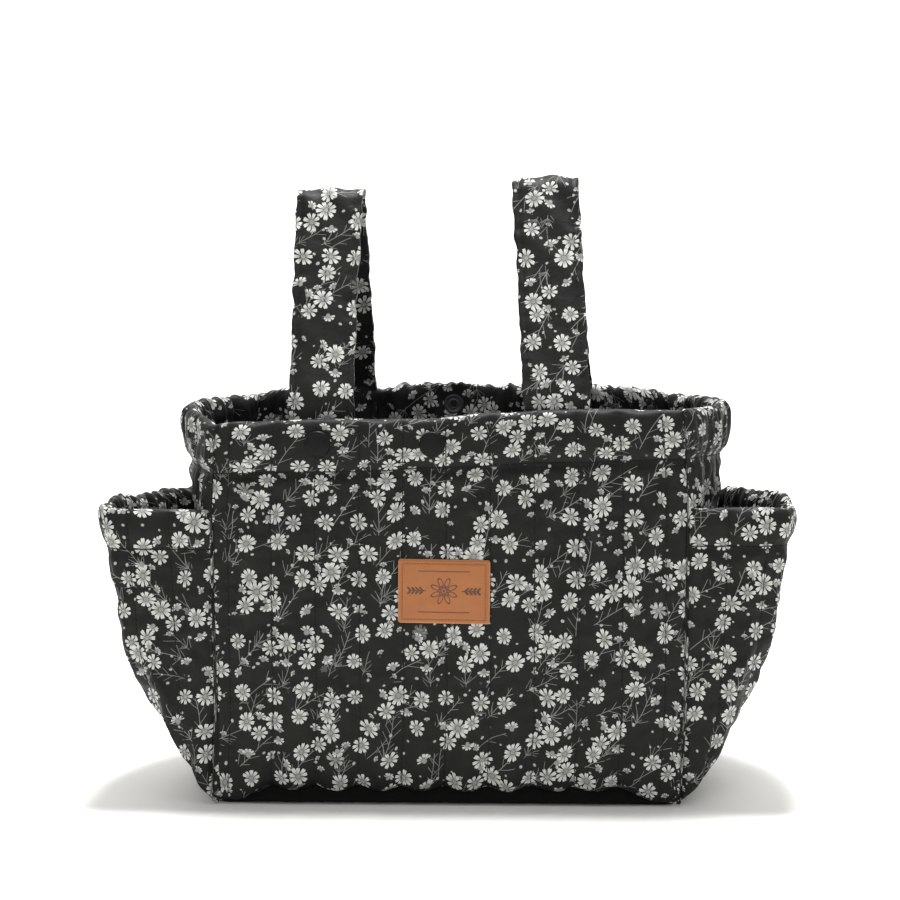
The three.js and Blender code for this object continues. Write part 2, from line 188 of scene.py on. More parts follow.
def side_surface(s, z):
    """The right side wall, with s from the front seam (-1) to the back seam (1)."""
    y = s * SIDE_SPAN
    inset = SIDE_INSET * np.clip(1 - z / INSET_END_Z, 0, 1) * (1 - np.abs(s) ** 8)
    pulled = np.exp(-((1 - s) / 0.3)) * smooth(z, 150, RIM_Z)
    swell = SIDE_SWELL * np.clip(z / RIM_Z, 0, 2) ** 1.5 * np.cos(np.pi * y / (2 * HALF_DEPTH))
    back, height = turned_under(z, 8.0, 1.5)
    return np.stack([half_width(z) - inset + swell - 3.0 * pulled - back, y - 6.0 * pulled, height], -1)


def pocket_surface(slack):
    """The right pocket, s from the front seam (-1) round to the back seam (1), even along the cloth."""
    heights, reaches = np.array(POCKET_REACH, float).T

    def surface(s, z):
        reach = np.interp(z, heights, reaches) + slack(z)
        front = np.minimum(0.7 * reach, 15.0)
        straight = 52.0 - front
        sweep_y = 2 * HALF_DEPTH - 54.0
        sweep = 0.97 * np.hypot(reach, sweep_y) + 0.1 * np.minimum(reach, sweep_y)
        # the cloth runs out along the flank, round the front corner, back along the outside, and sweeps in
        end1 = reach - front
        end2 = end1 + front * np.pi / 2
        end3 = end2 + straight
        a = (s + 1) / 2 * (end3 + sweep)
        turn = np.clip(a - end1, 0, end2 - end1) / np.maximum(front, 1e-6)
        angle = np.clip((a - end3) / sweep, 0, 1) * np.pi / 2
        x = half_width(z) - 1.0 + np.clip(a, 0, end1) + front * np.sin(turn)
        x = x - reach * (1 - np.cos(angle) ** SWEEP_POWER)
        y = front * (1 - np.cos(turn)) + np.clip(a - end2, 0, straight) + sweep_y * np.sin(angle) ** SWEEP_POWER
        # the bottom of the pocket curls in to the foot of the side wall
        tuck = SIDE_INSET * np.clip(1 - z / TUCK_Z, 0, 1) ** 2 * (1 - np.abs(s) ** 12)
        return np.stack([x - tuck, y - HALF_DEPTH + 2.2, z], -1)

    return surface


def mirrored(surface):
    return lambda s, z: surface(s, z) * np.array([-1.0, 1.0, 1.0])


# ---------------------------------------------------------------- meshes


def make_object(name, verts_mm, faces, uvs=None):
    mesh = bpy.data.meshes.new(name)
    mesh.from_pydata((np.asarray(verts_mm) * MM).tolist(), [], [list(map(int, f)) for f in faces])
    mesh.validate()
    if uvs is not None:
        layer = mesh.uv_layers.new(name="Print")
        loop_vertex = np.zeros(len(mesh.loops), int)
        mesh.loops.foreach_get("vertex_index", loop_vertex)
        layer.data.foreach_set("uv", (np.asarray(uvs)[loop_vertex] * MM).ravel())
    mesh.polygons.foreach_set("use_smooth", [True] * len(mesh.polygons))
    mesh.update()
    obj = bpy.data.objects.new(name, mesh)
    bpy.context.scene.collection.objects.link(obj)
    return obj


def face_outward(obj):
    mesh = bmesh.new()
    mesh.from_mesh(obj.data)
    bmesh.ops.recalc_face_normals(mesh, faces=mesh.faces)
    mesh.to_mesh(obj.data)
    mesh.free()


def subdivide(obj):
    """One subdivision, applied."""
    mod = obj.modifiers.new("Subdivision", "SUBSURF")
    mod.levels = mod.render_levels = 1
    bpy.context.view_layer.update()
    old = obj.data
    obj_now = obj.evaluated_get(bpy.context.evaluated_depsgraph_get())
    mesh = bpy.data.meshes.new_from_object(obj_now)
    obj.modifiers.clear()
    obj.data = mesh
    mesh.name = obj.name
    bpy.data.meshes.remove(old)


def grid_quads(rows, columns):
    i = np.arange(rows - 1)[:, None] * columns + np.arange(columns - 1)[None, :]
    return np.stack([i, i + 1, i + columns + 1, i + columns], -1).reshape(-1, 4)


def slab_faces(rows, columns):
    """For a slab of two like grids of points: the first grid's faces, and those of the strip round both."""
    count = rows * columns
    border = list(range(columns)) + [r * columns + columns - 1 for r in range(1, rows)]
    border += [count - 1 - c for c in range(1, columns)] + [r * columns for r in range(rows - 2, 0, -1)]
    strip = [[i, j, j + count, i + count] for i, j in zip(border, border[1:] + border[:1])]
    return grid_quads(rows, columns), strip


def resample(points, step):
    """A smooth path through control points, with points about a step apart, and how far along each one is."""
    p = np.array(points, float)
    seg = np.linalg.norm(np.diff(p[:, :2], axis=0), axis=1)
    t = np.concatenate([[0], np.cumsum(seg)])
    at = np.linspace(0, t[-1], max(2, int(round(t[-1] / step))) + 1)
    ext = np.vstack([2 * p[0] - p[1], p, 2 * p[-1] - p[-2]])
    k = np.clip(np.searchsorted(t, at, side="right") - 1, 0, len(p) - 2)
    w = ((at - t[k]) / np.maximum(seg[k], 1e-9))[:, None]
    p0, p1, p2, p3 = ext[k], ext[k + 1], ext[k + 2], ext[k + 3]
    out = 0.5 * (2 * p1 + (p2 - p0) * w + (2 * p0 - 5 * p1 + 4 * p2 - p3) * w**2 + (3 * p1 - p0 - 3 * p2 + p3) * w**3)
    return out, at


class Cloth:
    """The finished surface of a piece, to lay stitches on."""

    def __init__(self, obj):
        self.tree = BVHTree.FromObject(obj, bpy.context.evaluated_depsgraph_get())

    def land(self, points, outward, reach=7.0):
        """The points that lie over the surface, moved onto it: which they are, their places and their normals."""
        found, places, normals = [], [], []
        for p, n in zip(points, outward):
            hit, normal, _, _ = self.tree.ray_cast(Vector(p + n * reach) * MM, Vector(-n), 2 * reach * MM)
            found.append(hit is not None)
            if found[-1]:
                places.append(tuple(hit / MM))
                normals.append(tuple(normal))
        return np.array(found), np.array(places).reshape(-1, 3), np.array(normals).reshape(-1, 3)


# ---------------------------------------------------------------- the walls


class Wall:
    """A quilted wall: one closed padded shell from the outer bottom seam, over the rim, to the inner bottom seam."""

    def __init__(self, name, surface, length, columns, lines, seed, rim_dip, hem_dip, gather=lambda s: 0.0 * s,
                 print_origin=(0.0, 0.0), wave=7.0, press=None):
        self.name, self.surface, self.length, self.lines, self.seed = name, surface, length, lines, seed
        self.rim_dip, self.hem_dip, self.gather = eased(*rim_dip), eased(*hem_dip), gather
        self.print_origin, self.wave, self.press = print_origin, wave, press
        self.pocket = "pocket" in name
        self.rim, self.hem, self.thick = RIM_Z, HEM_Z, WALL_THICK
        if self.pocket:
            self.rim, self.hem, self.thick = POCKET_RIM_Z, POCKET_HEM_Z, POCKET_THICK
        self.u = np.linspace(-length / 2, length / 2, columns + 1)
        for line in lines:
            self.u[np.argmin(np.abs(self.u - line))] = line
        self.path, self.t = self.cross_section()

    def cross_section(self):
        """Points of the cross-section: depth, height along the cloth, and 1 outside or -1 inside."""
        r, h, k = self.rim, self.hem, self.thick
        outer = [(k * 0.75, 0.0), (1.7, 0.3), (0.3, 3.5), (-0.2, 9), (0, 18)]
        outer += [(0, z) for z in np.arange(30, h - 16, 14)]
        outer += [(0.1, h - 9), (0.6, h - 4), (0.39 * k, h - 0.9), (0.42 * k, h + 0.5), (0.5, h + 3.5), (-0.6, h + 9)]
        outer += [(-0.8, (h + r) / 2 + 2), (-0.3, r - 6), (0.9, r - 1.8)]
        top = [(3.0, r), (k - 0.2, r - 0.2)]
        inner = [(k + 1.6, r - 2.0), (k + 2.5, r - 7), (k + 2.3, (h + r) / 2 + 2)]
        inner += [(k + 1.8, h + 8), (k + 0.6, h + 3), (k - 1.0, h + 0.6), (k - 1.0, h - 0.8), (k - 0.2, h - 4)]
        inner += [(k + 0.3, h - 9)] + [(k + 0.3, z) for z in np.arange(h - 18, 30, -14)]
        inner += [(k + 0.3, 22), (k + 0.2, 12), (k, 6), (k * 0.85, 2.0)]
        return resample([(*p, side) for part, side in ((outer, 1), (top, 0), (inner, -1)) for p in part], 4.0)

    def inward_normals(self, s, z):
        ds, dz = 0.006, 0.8
        along = self.surface(np.clip(s + ds, -1, 1), z) - self.surface(np.clip(s - ds, -1, 1), z)
        up = self.surface(s, z + dz) - self.surface(s, z - dz)
        n = np.cross(up, along)
        n /= np.linalg.norm(n, axis=-1, keepdims=True) + 1e-12
        return -n if self.name.startswith("left") else n

    def build(self):
        rows, columns = len(self.path), len(self.u)
        U, T = np.meshgrid(self.u, self.t)
        S = U / (self.length / 2)
        D, Z, side = (np.repeat(a[:, None], columns, 1) for a in self.path.T)
        # how near each point is to a sewn line, an end seam, the hem's stitches, the rim and the floor
        seams = np.concatenate([[-self.length / 2], self.lines, [self.length / 2]])
        gap = np.repeat(np.abs(self.u[:, None] - seams[None, :]).min(1)[None, :], rows, 0)
        quilt = bell(gap, 3.2) + 0.25 * bell(gap, 8.0)
        from_end = self.length / 2 - np.abs(U)
        end = bell(from_end, 2.6)
        on_stitch = bell(Z - self.hem, 3.0)
        near_rim = smooth(Z, self.rim - 5, self.rim)
        in_hem = smooth(Z, self.hem - 1, self.hem + 5)
        outward = np.where(side > 0, -1.0, 1.0) * (1 - near_rim * 0.8)
        # the wadding stands out between the lines, and the end seams pinch it
        puff = (1 - bell(gap, 9.0)) * 1.2 * (1 - 0.5 * in_hem) * (1 - 0.7 * on_stitch)
        pull = 1.25 * quilt * (1 - 0.75 * on_stitch) * (1 - 0.45 * in_hem)
        D = D + outward * (puff - pull) * (1 - 0.5 * smooth(-Z, -14, -3))
        D = D + (self.thick * 0.45 - D) * end * 0.62
        # soft puckers beside the stitches, and slow unevenness everywhere
        pucker = ripple(Z + 2.0 * np.sin(U / 9.0), self.seed + 3, 9.5) * bell(gap, 7.0) * (1 - in_hem)
        hem_pucker = ripple(U, self.seed + 13, 8.0) * bell(Z - self.hem, 7.0) * (1 - on_stitch)
        uneven = 0.9 * wander(U, Z * 1.4, self.seed + 4, 30.0)
        D = D + outward * (0.3 * pucker + 0.35 * hem_pucker + 0.35 * uneven) * (1 - end)
        # gathers, drawn up by the elastic in the hem
        gather = self.gather(S)
        reach = smooth(Z, self.hem - 40, self.hem) * 0.3 + in_hem * 0.7
        fold = ripple(U + 0.05 * (Z - self.hem), self.seed, self.wave)
        fold = fold + 0.6 * ripple(U, self.seed + 1, self.wave * 2.3)
        inner_fold = ripple(U + 1.5, self.seed + 7, self.wave * 1.07)
        depth = np.where(side >= 0, -fold, inner_fold) * (0.4 + 0.6 * smooth(np.abs(side), 0, 1))
        D = D + gather * reach * depth * (1 - 0.8 * on_stitch) * (1 - end)
        # the rim's own line: where it dips, and how it waves
        points = self.surface(S, np.full_like(S, self.hem))
        along = points[..., 1] if self.pocket or "side" in self.name else points[..., 0]
        rim_dip, hem_dip = self.rim_dip(along), self.hem_dip(along)
        dip = hem_dip * smooth(Z, self.hem - 110, self.hem) + (rim_dip - hem_dip) * smooth(Z, self.hem, self.rim)
        rim_wave = 0.9 * fold - 0.3 + 0.8 * wander(U, 0 * U, self.seed + 5, 34.0)
        lift = near_rim * (1 - end) * (gather * rim_wave + 0.7 * wander(U, 0 * U, self.seed + 9, 70.0))
        points = self.surface(S, Z)
        self.normals = self.inward_normals(S, Z)
        points = points + self.normals * D[..., None]
        points[..., 0] += foot_shift(points[..., 2])
        points[..., 2] += dip + lift + 2.0 * end * smooth(-Z, -9, 0)
        if self.press:
            points = self.press(points, side)
        self.grid = points
        # the print runs evenly along the cloth
        steps = np.linalg.norm(np.diff(points, axis=1), axis=2)
        run = np.concatenate([np.zeros((rows, 1)), np.cumsum(steps, 1)], 1)
        if not self.pocket:
            run = run - run[:, columns // 2][:, None]
        uv = np.stack([run + self.print_origin[0], T + self.print_origin[1]], -1)
        self.make_mesh(points, uv)
        # where the hem and the quilting lines lie, for the painted shade along them in the cloth material
        for mark, value in (("hem_place", 100 + Z - self.hem), ("line_place", 100 + gap)):
            self.obj.data.attributes.new(mark, "FLOAT", "POINT").data.foreach_set("value", value.ravel())
        face_outward(self.obj)
        # 1 where the simulation has to leave the cloth in place
        bottom = smooth(-Z, -12, -4)
        sewn = np.maximum.reduce([bell(gap, 1.6), bell(from_end, 5.0), on_stitch, bottom, 0.6 * near_rim])
        if self.press:
            for push in ((0, -3.0, 0), (0, 3.0, 0)):
                sewn = np.maximum(sewn, np.abs(self.press(points + push, side) - points - push).max(-1) > 0.3)
        self.sewn = sewn.ravel()

    def make_mesh(self, points, uv):
        """The mesh, with strips that close its two end seams and its bottom seam."""
        rows, columns = points.shape[:2]
        faces = grid_quads(rows, columns).tolist()
        strips = []
        for edge in (0, columns - 1):
            for a in range(rows // 2):
                b = rows - 1 - a
                if b - a == 2:
                    strips.append([k * columns + edge for k in (a, a + 1, b)])
                elif b - a > 2:
                    strips.append([k * columns + edge for k in (a, a + 1, b - 1, b)])
        ends = len(faces) + len(strips)
        last = (rows - 1) * columns
        strips += [[j + 1, j, last + j, last + j + 1] for j in range(columns - 1)]
        self.obj = make_object(self.name, points.reshape(-1, 3), faces + strips, uv.reshape(-1, 2))
        # a strip's inner side takes the print from beside its outer side
        layer = self.obj.data.uv_layers["Print"].data
        for poly in self.obj.data.polygons[len(faces):]:
            for loop in poly.loop_indices:
                row, column = divmod(self.obj.data.loops[loop].vertex_index, columns)
                if row > rows // 2:
                    beside = (3.0, 0.0) if poly.index < ends else (0.0, -3.0)
                    layer[loop].uv = (uv[rows - 1 - row, column] + beside) * MM

    def grid_point(self, u, z, outside):
        """A place on the wall's first grid and its outward direction; z runs along the cloth."""
        _, height, side = self.path.T
        order = np.where(side > 0)[0] if outside else np.where(side < 0)[0][::-1]
        after = np.searchsorted(height[order], z).clip(1, len(order) - 1)
        i, i0 = order[after], order[after - 1]
        w = ((z - height[i0]) / (height[i] - height[i0] + 1e-9))[:, None]
        j = np.searchsorted(self.u, u).clip(1, len(self.u) - 1)
        v = ((u - self.u[j - 1]) / (self.u[j] - self.u[j - 1]))[:, None]
        low = self.grid[i0, j - 1] * (1 - v) + self.grid[i0, j] * v
        high = self.grid[i, j - 1] * (1 - v) + self.grid[i, j] * v
        return low * (1 - w) + high * w, self.normals[i, j] * (-1 if outside else 1)

    def inflate(self):
        """Cloth simulation: sewn lines hold while pressure and spare cloth puff out what lies between."""
        obj, scene = self.obj, bpy.context.scene
        group = obj.vertex_groups.new(name="sewn")
        for index, weight in enumerate(self.sewn):
            group.add([index], float(weight), "REPLACE")
        before = np.array([v.co for v in obj.data.vertices])
        mod = obj.modifiers.new("Cloth", "CLOTH")
        mod.point_cache.frame_start, mod.point_cache.frame_end = 1, SIM_FRAMES
        cloth = mod.settings
        cloth.quality = 4
        cloth.mass = 0.2
        cloth.tension_stiffness = cloth.compression_stiffness = 20
        cloth.shear_stiffness = 8
        cloth.bending_stiffness = 0.3
        cloth.tension_damping = cloth.compression_damping = 15
        cloth.vertex_group_mass = "sewn"
        cloth.use_pressure = True
        cloth.uniform_pressure_force = 1.8 if self.pocket else 3.0
        cloth.shrink_min = cloth.shrink_max = -0.025 if self.pocket else -0.035
        cloth.effector_weights.gravity = 0.0
        for frame_number in range(1, SIM_FRAMES + 1):
            scene.frame_set(frame_number)
        shape = obj.evaluated_get(bpy.context.evaluated_depsgraph_get()).data
        moved = np.array([v.co for v in shape.vertices]) - before
        obj.modifiers.clear()
        obj.vertex_groups.clear()
        scene.frame_set(1)
        length = np.linalg.norm(moved, axis=1, keepdims=True)
        moved *= np.minimum(1.0, MOST_PUFF * MM / np.maximum(length, 1e-9))
        moved *= 1 - self.sewn[:, None]
        moved[~np.isfinite(moved).all(1)] = 0
        obj.data.vertices.foreach_set("co", (before + moved).ravel())
        obj.data.update()


def held_by(points, held, node, margin, plane, slope, inwards):
    """Cloth near a node kept off it: y goes no further than a plane under the node, and eases away from there."""
    low, high = node_box(node)
    centre, half = (low + high) / 2, (high - low) / 2
    x, z = np.abs(points[..., 0] - centre[0]), np.abs(points[..., 2] - centre[2])
    if node == "leather_label":
        beyond = np.hypot(np.maximum(x - half[0], 0), np.maximum(z - half[2], 0))
    else:
        beyond = np.maximum(np.hypot(x, z) - half[0] - margin, 0)
    limit = plane - inwards * slope * beyond
    y = points[..., 1]
    kept = np.maximum(y, limit) if inwards > 0 else np.minimum(y, limit)
    return np.stack([points[..., 0], np.where(held, kept, y), points[..., 2]], -1)


def press_front(points, side):
    """The front lies flat under the label and the snaps on both its faces."""
    points = held_by(points, side > 0, "leather_label", 0, node_box("leather_label")[1][1], 0.12, 1)
    for cap in ("left_strap_wall_cap", "closure_front_cap"):
        points = held_by(points, side > 0, cap, 0.3, node_box(cap)[0][1] + CAP_HEIGHT - 0.2, 0.2, 1)
    for ring in ("closure_stud", "left_strap_stud"):
        points = held_by(points, side < 0, ring, 0.3, node_box(ring)[0][1] + 0.3, 0.25, -1)
    return points


def press_back(points, side):
    """The back lies flat under the snaps on both its faces."""
    for cap in ("closure_back_cap", "right_strap_wall_cap"):
        points = held_by(points, side > 0, cap, 0.3, node_box(cap)[1][1] - CAP_HEIGHT + 0.2, 0.2, -1)
    for ring in ("closure_socket", "right_strap_stud"):
        points = held_by(points, side < 0, ring, 0.3, node_box(ring)[1][1] - 0.3, 0.25, 1)
    return points


def channel_lines(length, offset=0.0):
    """Places of the quilting lines along a width, counted from its middle."""
    count = int(length / 2 / CHANNEL) + 2
    lines = offset + CHANNEL * np.arange(-count, count + 1)
    return lines[np.abs(lines) < length / 2 - 5.0]


def side_gather(s):
    """Smooth beside the front seam, gathered from there to the back."""
    return 0.12 + 0.6 * smooth(s, -0.8, -0.1)


def pocket_gather(s):
    return 0.12 + 0.88 * smooth(s, -0.5, -0.15)


def layers(place, *extra):
    """The names of the CAD nodes that one soft piece replaces."""
    return [f"{place}_{layer}" for layer in ("shell", "wadding", "lining")] + list(extra)


def of_bag(obj, replaced=()):
    """Fixes a piece to the bag's body."""
    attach(obj, "bag")
    if replaced:
        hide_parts(*replaced)
    return obj


PANEL_LINES = channel_lines(2 * HALF_PANEL, QUILT_SHIFT)
SIDE_LINES = channel_lines(150.0)
POCKET_LINES = np.arange(1, 10) * CHANNEL - POCKET_LENGTH / 2
right_pocket = pocket_surface(eased((0, 0.5), (25, 3.2), (45, 0.8), (62, -2.2), (100, -2.2), (176, -2.8)))
left_pocket = mirrored(pocket_surface(eased((0, 0), (30, 2.2), (60, 3.2), (120, 3.2), (176, 2.6))))
walls = [
    Wall("front_wall", front_surface, 2 * HALF_PANEL, 96, PANEL_LINES, 11, press=press_front,
         rim_dip=((-140, -10.8), (-118, -8.8), (-80, -7.5), (-15, -7.2), (29, -3), (64, -1), (140, -0.8)),
         hem_dip=((-140, -3.5), (-57, -1.8), (-5, 0.8), (64, 4.0), (140, 6.2))),
    Wall("back_wall", back_surface, 2 * HALF_PANEL, 150, PANEL_LINES, 21, press=press_back, wave=8.0,
         rim_dip=((-140, -5), (-116, -1.2), (-49, 0.5), (-8, 2.2), (60, 2.0), (107, 0.2), (140, -4)),
         hem_dip=((-140, 0), (140, 0)), gather=lambda s: 1.0 - 0.3 * s**8, print_origin=(517, 90)),
    Wall("right_side_wall", side_surface, 150.0, 100, SIDE_LINES, 31,
         rim_dip=((-69, -0.8), (-30, -2.4), (0, -2.4), (40, -2.2), (63, -4)),
         hem_dip=((-69, 6.2), (0, 2), (63, 0)), gather=side_gather, print_origin=(1031, 40)),
    Wall("left_side_wall", mirrored(side_surface), 150.0, 100, SIDE_LINES, 41,
         rim_dip=((-69, -10.5), (-45, -7), (0, -5.5), (40, -4.5), (63, -4.5)),
         hem_dip=((-69, -3.5), (0, -2), (63, 0)), gather=side_gather, print_origin=(1333, 70)),
    Wall("right_pocket", right_pocket, POCKET_LENGTH, 150, POCKET_LINES, 51,
         rim_dip=((-70, 3.0), (-60, 1.5), (-20, 3.0), (30, -0.5), (69, -3)),
         hem_dip=((-69, 2.5), (-40, 0), (69, -1)), gather=pocket_gather, print_origin=(1702, 15)),
    Wall("left_pocket", left_pocket, POCKET_LENGTH, 150, POCKET_LINES, 61,
         rim_dip=((-70, 0.5), (-56, 1), (-20, 0), (10, -2.5), (69, -4)),
         hem_dip=((-69, -1), (69, -1)), gather=pocket_gather, print_origin=(2111, 55)),
]
ELASTICS = {"back_wall": ["back_hem_elastic"], "right_side_wall": ["right_hem_elastic"],
            "left_side_wall": ["left_hem_elastic"], "right_pocket": ["right_pocket_elastic"],
            "left_pocket": ["left_pocket_elastic"]}
for wall in walls:
    wall.build()
    of_bag(wall.obj, layers(wall.name.replace("_wall", ""), *ELASTICS.get(wall.name, [])))
for wall in walls:
    wall.inflate()
    subdivide(wall.obj)
    wall.cloth = Cloth(wall.obj)


# ---------------------------------------------------------------- base


def build_base():
    """The padded base: its seam is raised between the feet, and its underside bulges out onto the floor."""
    half_x, half_y = HALF_PANEL - 6, HALF_DEPTH - 8
    X, Y = np.meshgrid(np.linspace(-half_x, half_x, 77), np.linspace(-half_y, half_y, 41))
    edge = np.minimum(half_x - np.abs(X), half_y - np.abs(Y))
    corner = smooth(np.abs(X), FEET_START - 8, FEET_END)
    X, Y = X * (1 + 0.02 * corner), Y * (1 + 0.07 * corner)
    on_line = np.cos(2 * np.pi * (X - QUILT_SHIFT) / CHANNEL) * 0.5 + 0.5
    seam_z = (8.8 + 2.6 * on_line**2) * (1 - corner) + 3.0 * corner
    end_bulge = 6.0 * bell(edge - 2.5, 3.5) * (1 - 0.8 * corner)
    front_bulge = 12.5 * bell(edge - 3.3, 1.8) * (1 - 0.8 * corner)
    near = bell(edge, 1.4)
    bottom = 0.6 + (seam_z - 0.8) * near + 0.25 * wander(X, Y, 77, 30.0) * (1 - near) * smooth(edge, 6, 20)
    top = 5.8 + (seam_z - 5.4) * bell(edge, 9.0) - 0.4 * near
    long_side = half_y * (1 + 0.07 * corner) - np.abs(Y) < half_x * (1 + 0.02 * corner) - np.abs(X)
    push_x = np.sign(X) * 0.5 * end_bulge * ~long_side
    push_y = np.sign(Y) * front_bulge * long_side
    low = np.stack([X + push_x + foot_shift(bottom), Y + push_y, bottom], -1).reshape(-1, 3)
    high = np.stack([X + foot_shift(top), Y, top], -1).reshape(-1, 3)
    faces, strip = slab_faces(*X.shape)
    uvs = np.concatenate([low[:, :2] + 700, high[:, :2] + 900])
    all_faces = faces[:, ::-1].tolist() + (faces + len(low)).tolist() + strip
    obj = make_object("base_panel", np.concatenate([low, high]), all_faces, uvs)
    face_outward(obj)
    # the print shows inside; the underside and the edge strip get a printless near-black, painted shade where the bag
    # sits on the floor
    print_or_shade = [0 if len(faces) <= k < 2 * len(faces) else 1 for k in range(len(all_faces))]
    obj.data.polygons.foreach_set("material_index", print_or_shade)
    subdivide(obj)
    return of_bag(obj, layers("base"))


base = build_base()


# ---------------------------------------------------------------- straps
STRAP_FOLD = 9.0  # the radius of a strap's bend at its top
FREE_END, SEWN_END = np.array([-55.3, 238.0]), np.array([60.5, 240.3])  # (y, z) where its ends reach the rim
STRAP_X = {side: np.mean([b[0] for b in node_box(f"{side}_strap_sewn_end")]) for side in ("left", "right")}
STRAP_X["right"] += 0.8


def strap_line(side, step):
    """A strap's centreline in (y, z), its snapped end in front: points, directions, outward directions and runs."""
    top = node_box(f"{side}_strap_outer_cover")[1][2] - (5.5 if side == "left" else 3.0)
    centre = np.array([0.0, top - STRAP_FOLD])

    def on_bend(angle):
        return centre + STRAP_FOLD * np.array([math.cos(angle), math.sin(angle)])

    def meets_bend(point, sign):
        """The angle at which a straight run from a point meets the bend."""
        away = point - centre
        angle = math.atan2(away[1], away[0]) + sign * math.acos(STRAP_FOLD / np.hypot(*away))
        return math.atan2(math.sin(angle), math.cos(angle))

    start, stop = meets_bend(FREE_END, -1), meets_bend(SEWN_END, 1)
    (free, bend), (sewn, hinge) = FREE_END, SEWN_END
    line = [(free, 206.0), (free, 218.0), (free, 230.0), (free - 0.2, bend + 2)]
    line += [FREE_END * (1 - k) + on_bend(start) * k for k in (0.15, 0.35, 0.6, 0.85)]
    line += [on_bend(angle) for angle in np.linspace(start, stop, 9)]
    line += [on_bend(stop) * (1 - k) + SEWN_END * k for k in (0.15, 0.4, 0.65, 0.85)]
    line += [(sewn + 0.2, hinge - 2.5), (sewn, 230.0), (sewn, 217.0), (sewn, 204.0)]
    points, at = resample([(*p, 0) for p in line], step)
    path = points[:, :2]
    direction = np.gradient(path, axis=0)
    direction /= np.linalg.norm(direction, axis=1, keepdims=True)
    return path, direction, np.stack([-direction[:, 1], direction[:, 0]], -1), at


def strap_section():
    """Across a strap: places, and half its thickness there, with the topstitched grooves."""
    x = STRAP_HALF * np.sin(np.linspace(-1, 1, 28) * math.pi / 2 * 0.999)
    edge = np.clip((STRAP_HALF - np.abs(x)) / 3.0, 0, 1)
    groove = bell(np.abs(x) - (STRAP_HALF - 3.4), 1.2) * 0.85 + bell(x, 1.2) * 0.3
    return x, 2.9 * (0.55 + 0.45 * np.sqrt(edge)) * (1 + 0.1 * np.cos(x / STRAP_HALF * math.pi)) - groove


def place_strap(side, points):
    """Points of a strap drawn about x = 0 with its snapped end in front, moved to where that strap is."""
    p = np.array(points, float)
    if side == "right":
        # turned half round, and leaning about its sewn end
        lean = STRAP_LEAN * np.maximum(np.clip((p[:, 2] - 234.0) / 6.0, 0, 1), smooth(-p[:, 1], -50, 20))
        dz = p[:, 2] - LEAN_Z
        x = p[:, 0] * np.cos(lean) + dz * np.sin(lean)
        z = LEAN_Z - p[:, 0] * np.sin(lean) + dz * np.cos(lean)
        p = np.stack([-x, -p[:, 1], z], -1)
    p[:, 0] += STRAP_X[side]
    return p


def blend_strap(obj):
    """Bakes the piece's placement into its mesh."""
    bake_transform(obj)


def build_strap(side):
    path, _, out, at = strap_line(side, 3.2)
    x, thick = strap_section()
    seed = 5 if side == "left" else 9
    length = at[-1]
    verts, uvs = [], []
    for i, t in enumerate(at):
        middle = bell(t - length / 2, 30)
        width = 1.02 + 0.02 * middle - (0.05 * bell(t - 70, 40) if side == "left" else 0.0)
        free = 1 - bell(t, 14) - bell(length - t, 24)
        wobble = 0.5 * math.sin(t / 17 + seed) + 0.35 * math.sin(t / 7.3 + 2 * seed)
        pucker = float(ripple(t, seed, 6.5)) * free
        sway = float(ripple(t, seed + 2, 23.0)) * free
        cup = 0.9 * math.sin(t / 41 + seed * 0.7)
        for sign in (1, -1):
            xs, half = x[::sign], thick[::sign]
            beside = bell(np.abs(xs) - STRAP_HALF + 4.0, 3.2)
            across = xs * width + 0.35 * wobble
            across = across + np.copysign((xs / STRAP_HALF) ** 6, xs) * (0.35 * pucker + 0.5 * sway)
            creases = middle * np.sin(xs / 3.1 + t / 5.0) + 0.55 * pucker * beside
            creases += 0.3 * free * np.sin(t / 4.1 + sign * xs / 5.0 + seed)
            outward = sign * half + creases * 0.8 + cup * ((xs / STRAP_HALF) ** 2 - 0.4)
            verts.append(np.column_stack([across, path[i] + out[i] * outward[:, None]]))
            uvs.append(np.column_stack([sign * 40 + xs, np.full_like(xs, t)]))
    verts, uvs = np.concatenate(verts), np.concatenate(uvs)
    uvs[:, 0] += 2600 if side == "left" else 2800
    ring, rows = 2 * len(x), len(at)
    faces = [[i * ring + k, i * ring + (k + 1) % ring, (i + 1) * ring + (k + 1) % ring, (i + 1) * ring + k]
             for i in range(rows - 1) for k in range(ring)]
    for first in (0, (rows - 1) * ring):
        faces += [[first + k, first + k + 1, first + ring - 2 - k, first + ring - 1 - k] for k in range(len(x) - 1)]
    obj = make_object(f"{side}_strap", place_strap(side, verts), faces, uvs)
    face_outward(obj)
    subdivide(obj)
    blend_strap(obj)
    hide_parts(*(f"{side}_strap_{part}" for part in ("outer_cover", "wadding", "inner_cover", "sewn_end")))
    return obj


straps = {side: build_strap(side) for side in ("left", "right")}


# ---------------------------------------------------------------- snaps
# (radius, height) from the axis; a cap's profile starts and ends on it
SNAP_PROFILES = {
    "cap": ((0, 2.35), (2.5, 2.32), (4.6, 2.2), (5.6, 2.02), (6.0, 1.86), (6.3, 1.9), (6.9, 1.75), (7.35, 1.25),
            (7.5, 0.6), (7.45, 0.1), (6.0, 0.0), (1.8, -0.2), (1.8, -6.0), (0, -6.0)),
    "stud": ((2.1, 0), (6.4, 0), (6.45, 0.3), (6.2, 0.75), (5.0, 1.0), (3.6, 1.05), (3.15, 1.4), (2.95, 2.2),
             (3.05, 2.9), (2.9, 3.3), (2.4, 3.4), (2.1, 3.2)),
    "socket": ((2.1, 0), (6.4, 0), (6.45, 0.4), (6.2, 0.95), (5.6, 1.25), (4.9, 1.2), (4.4, 0.85), (3.2, 0.75),
               (2.9, 0.95), (2.3, 0.9), (2.1, 0.6)),
}


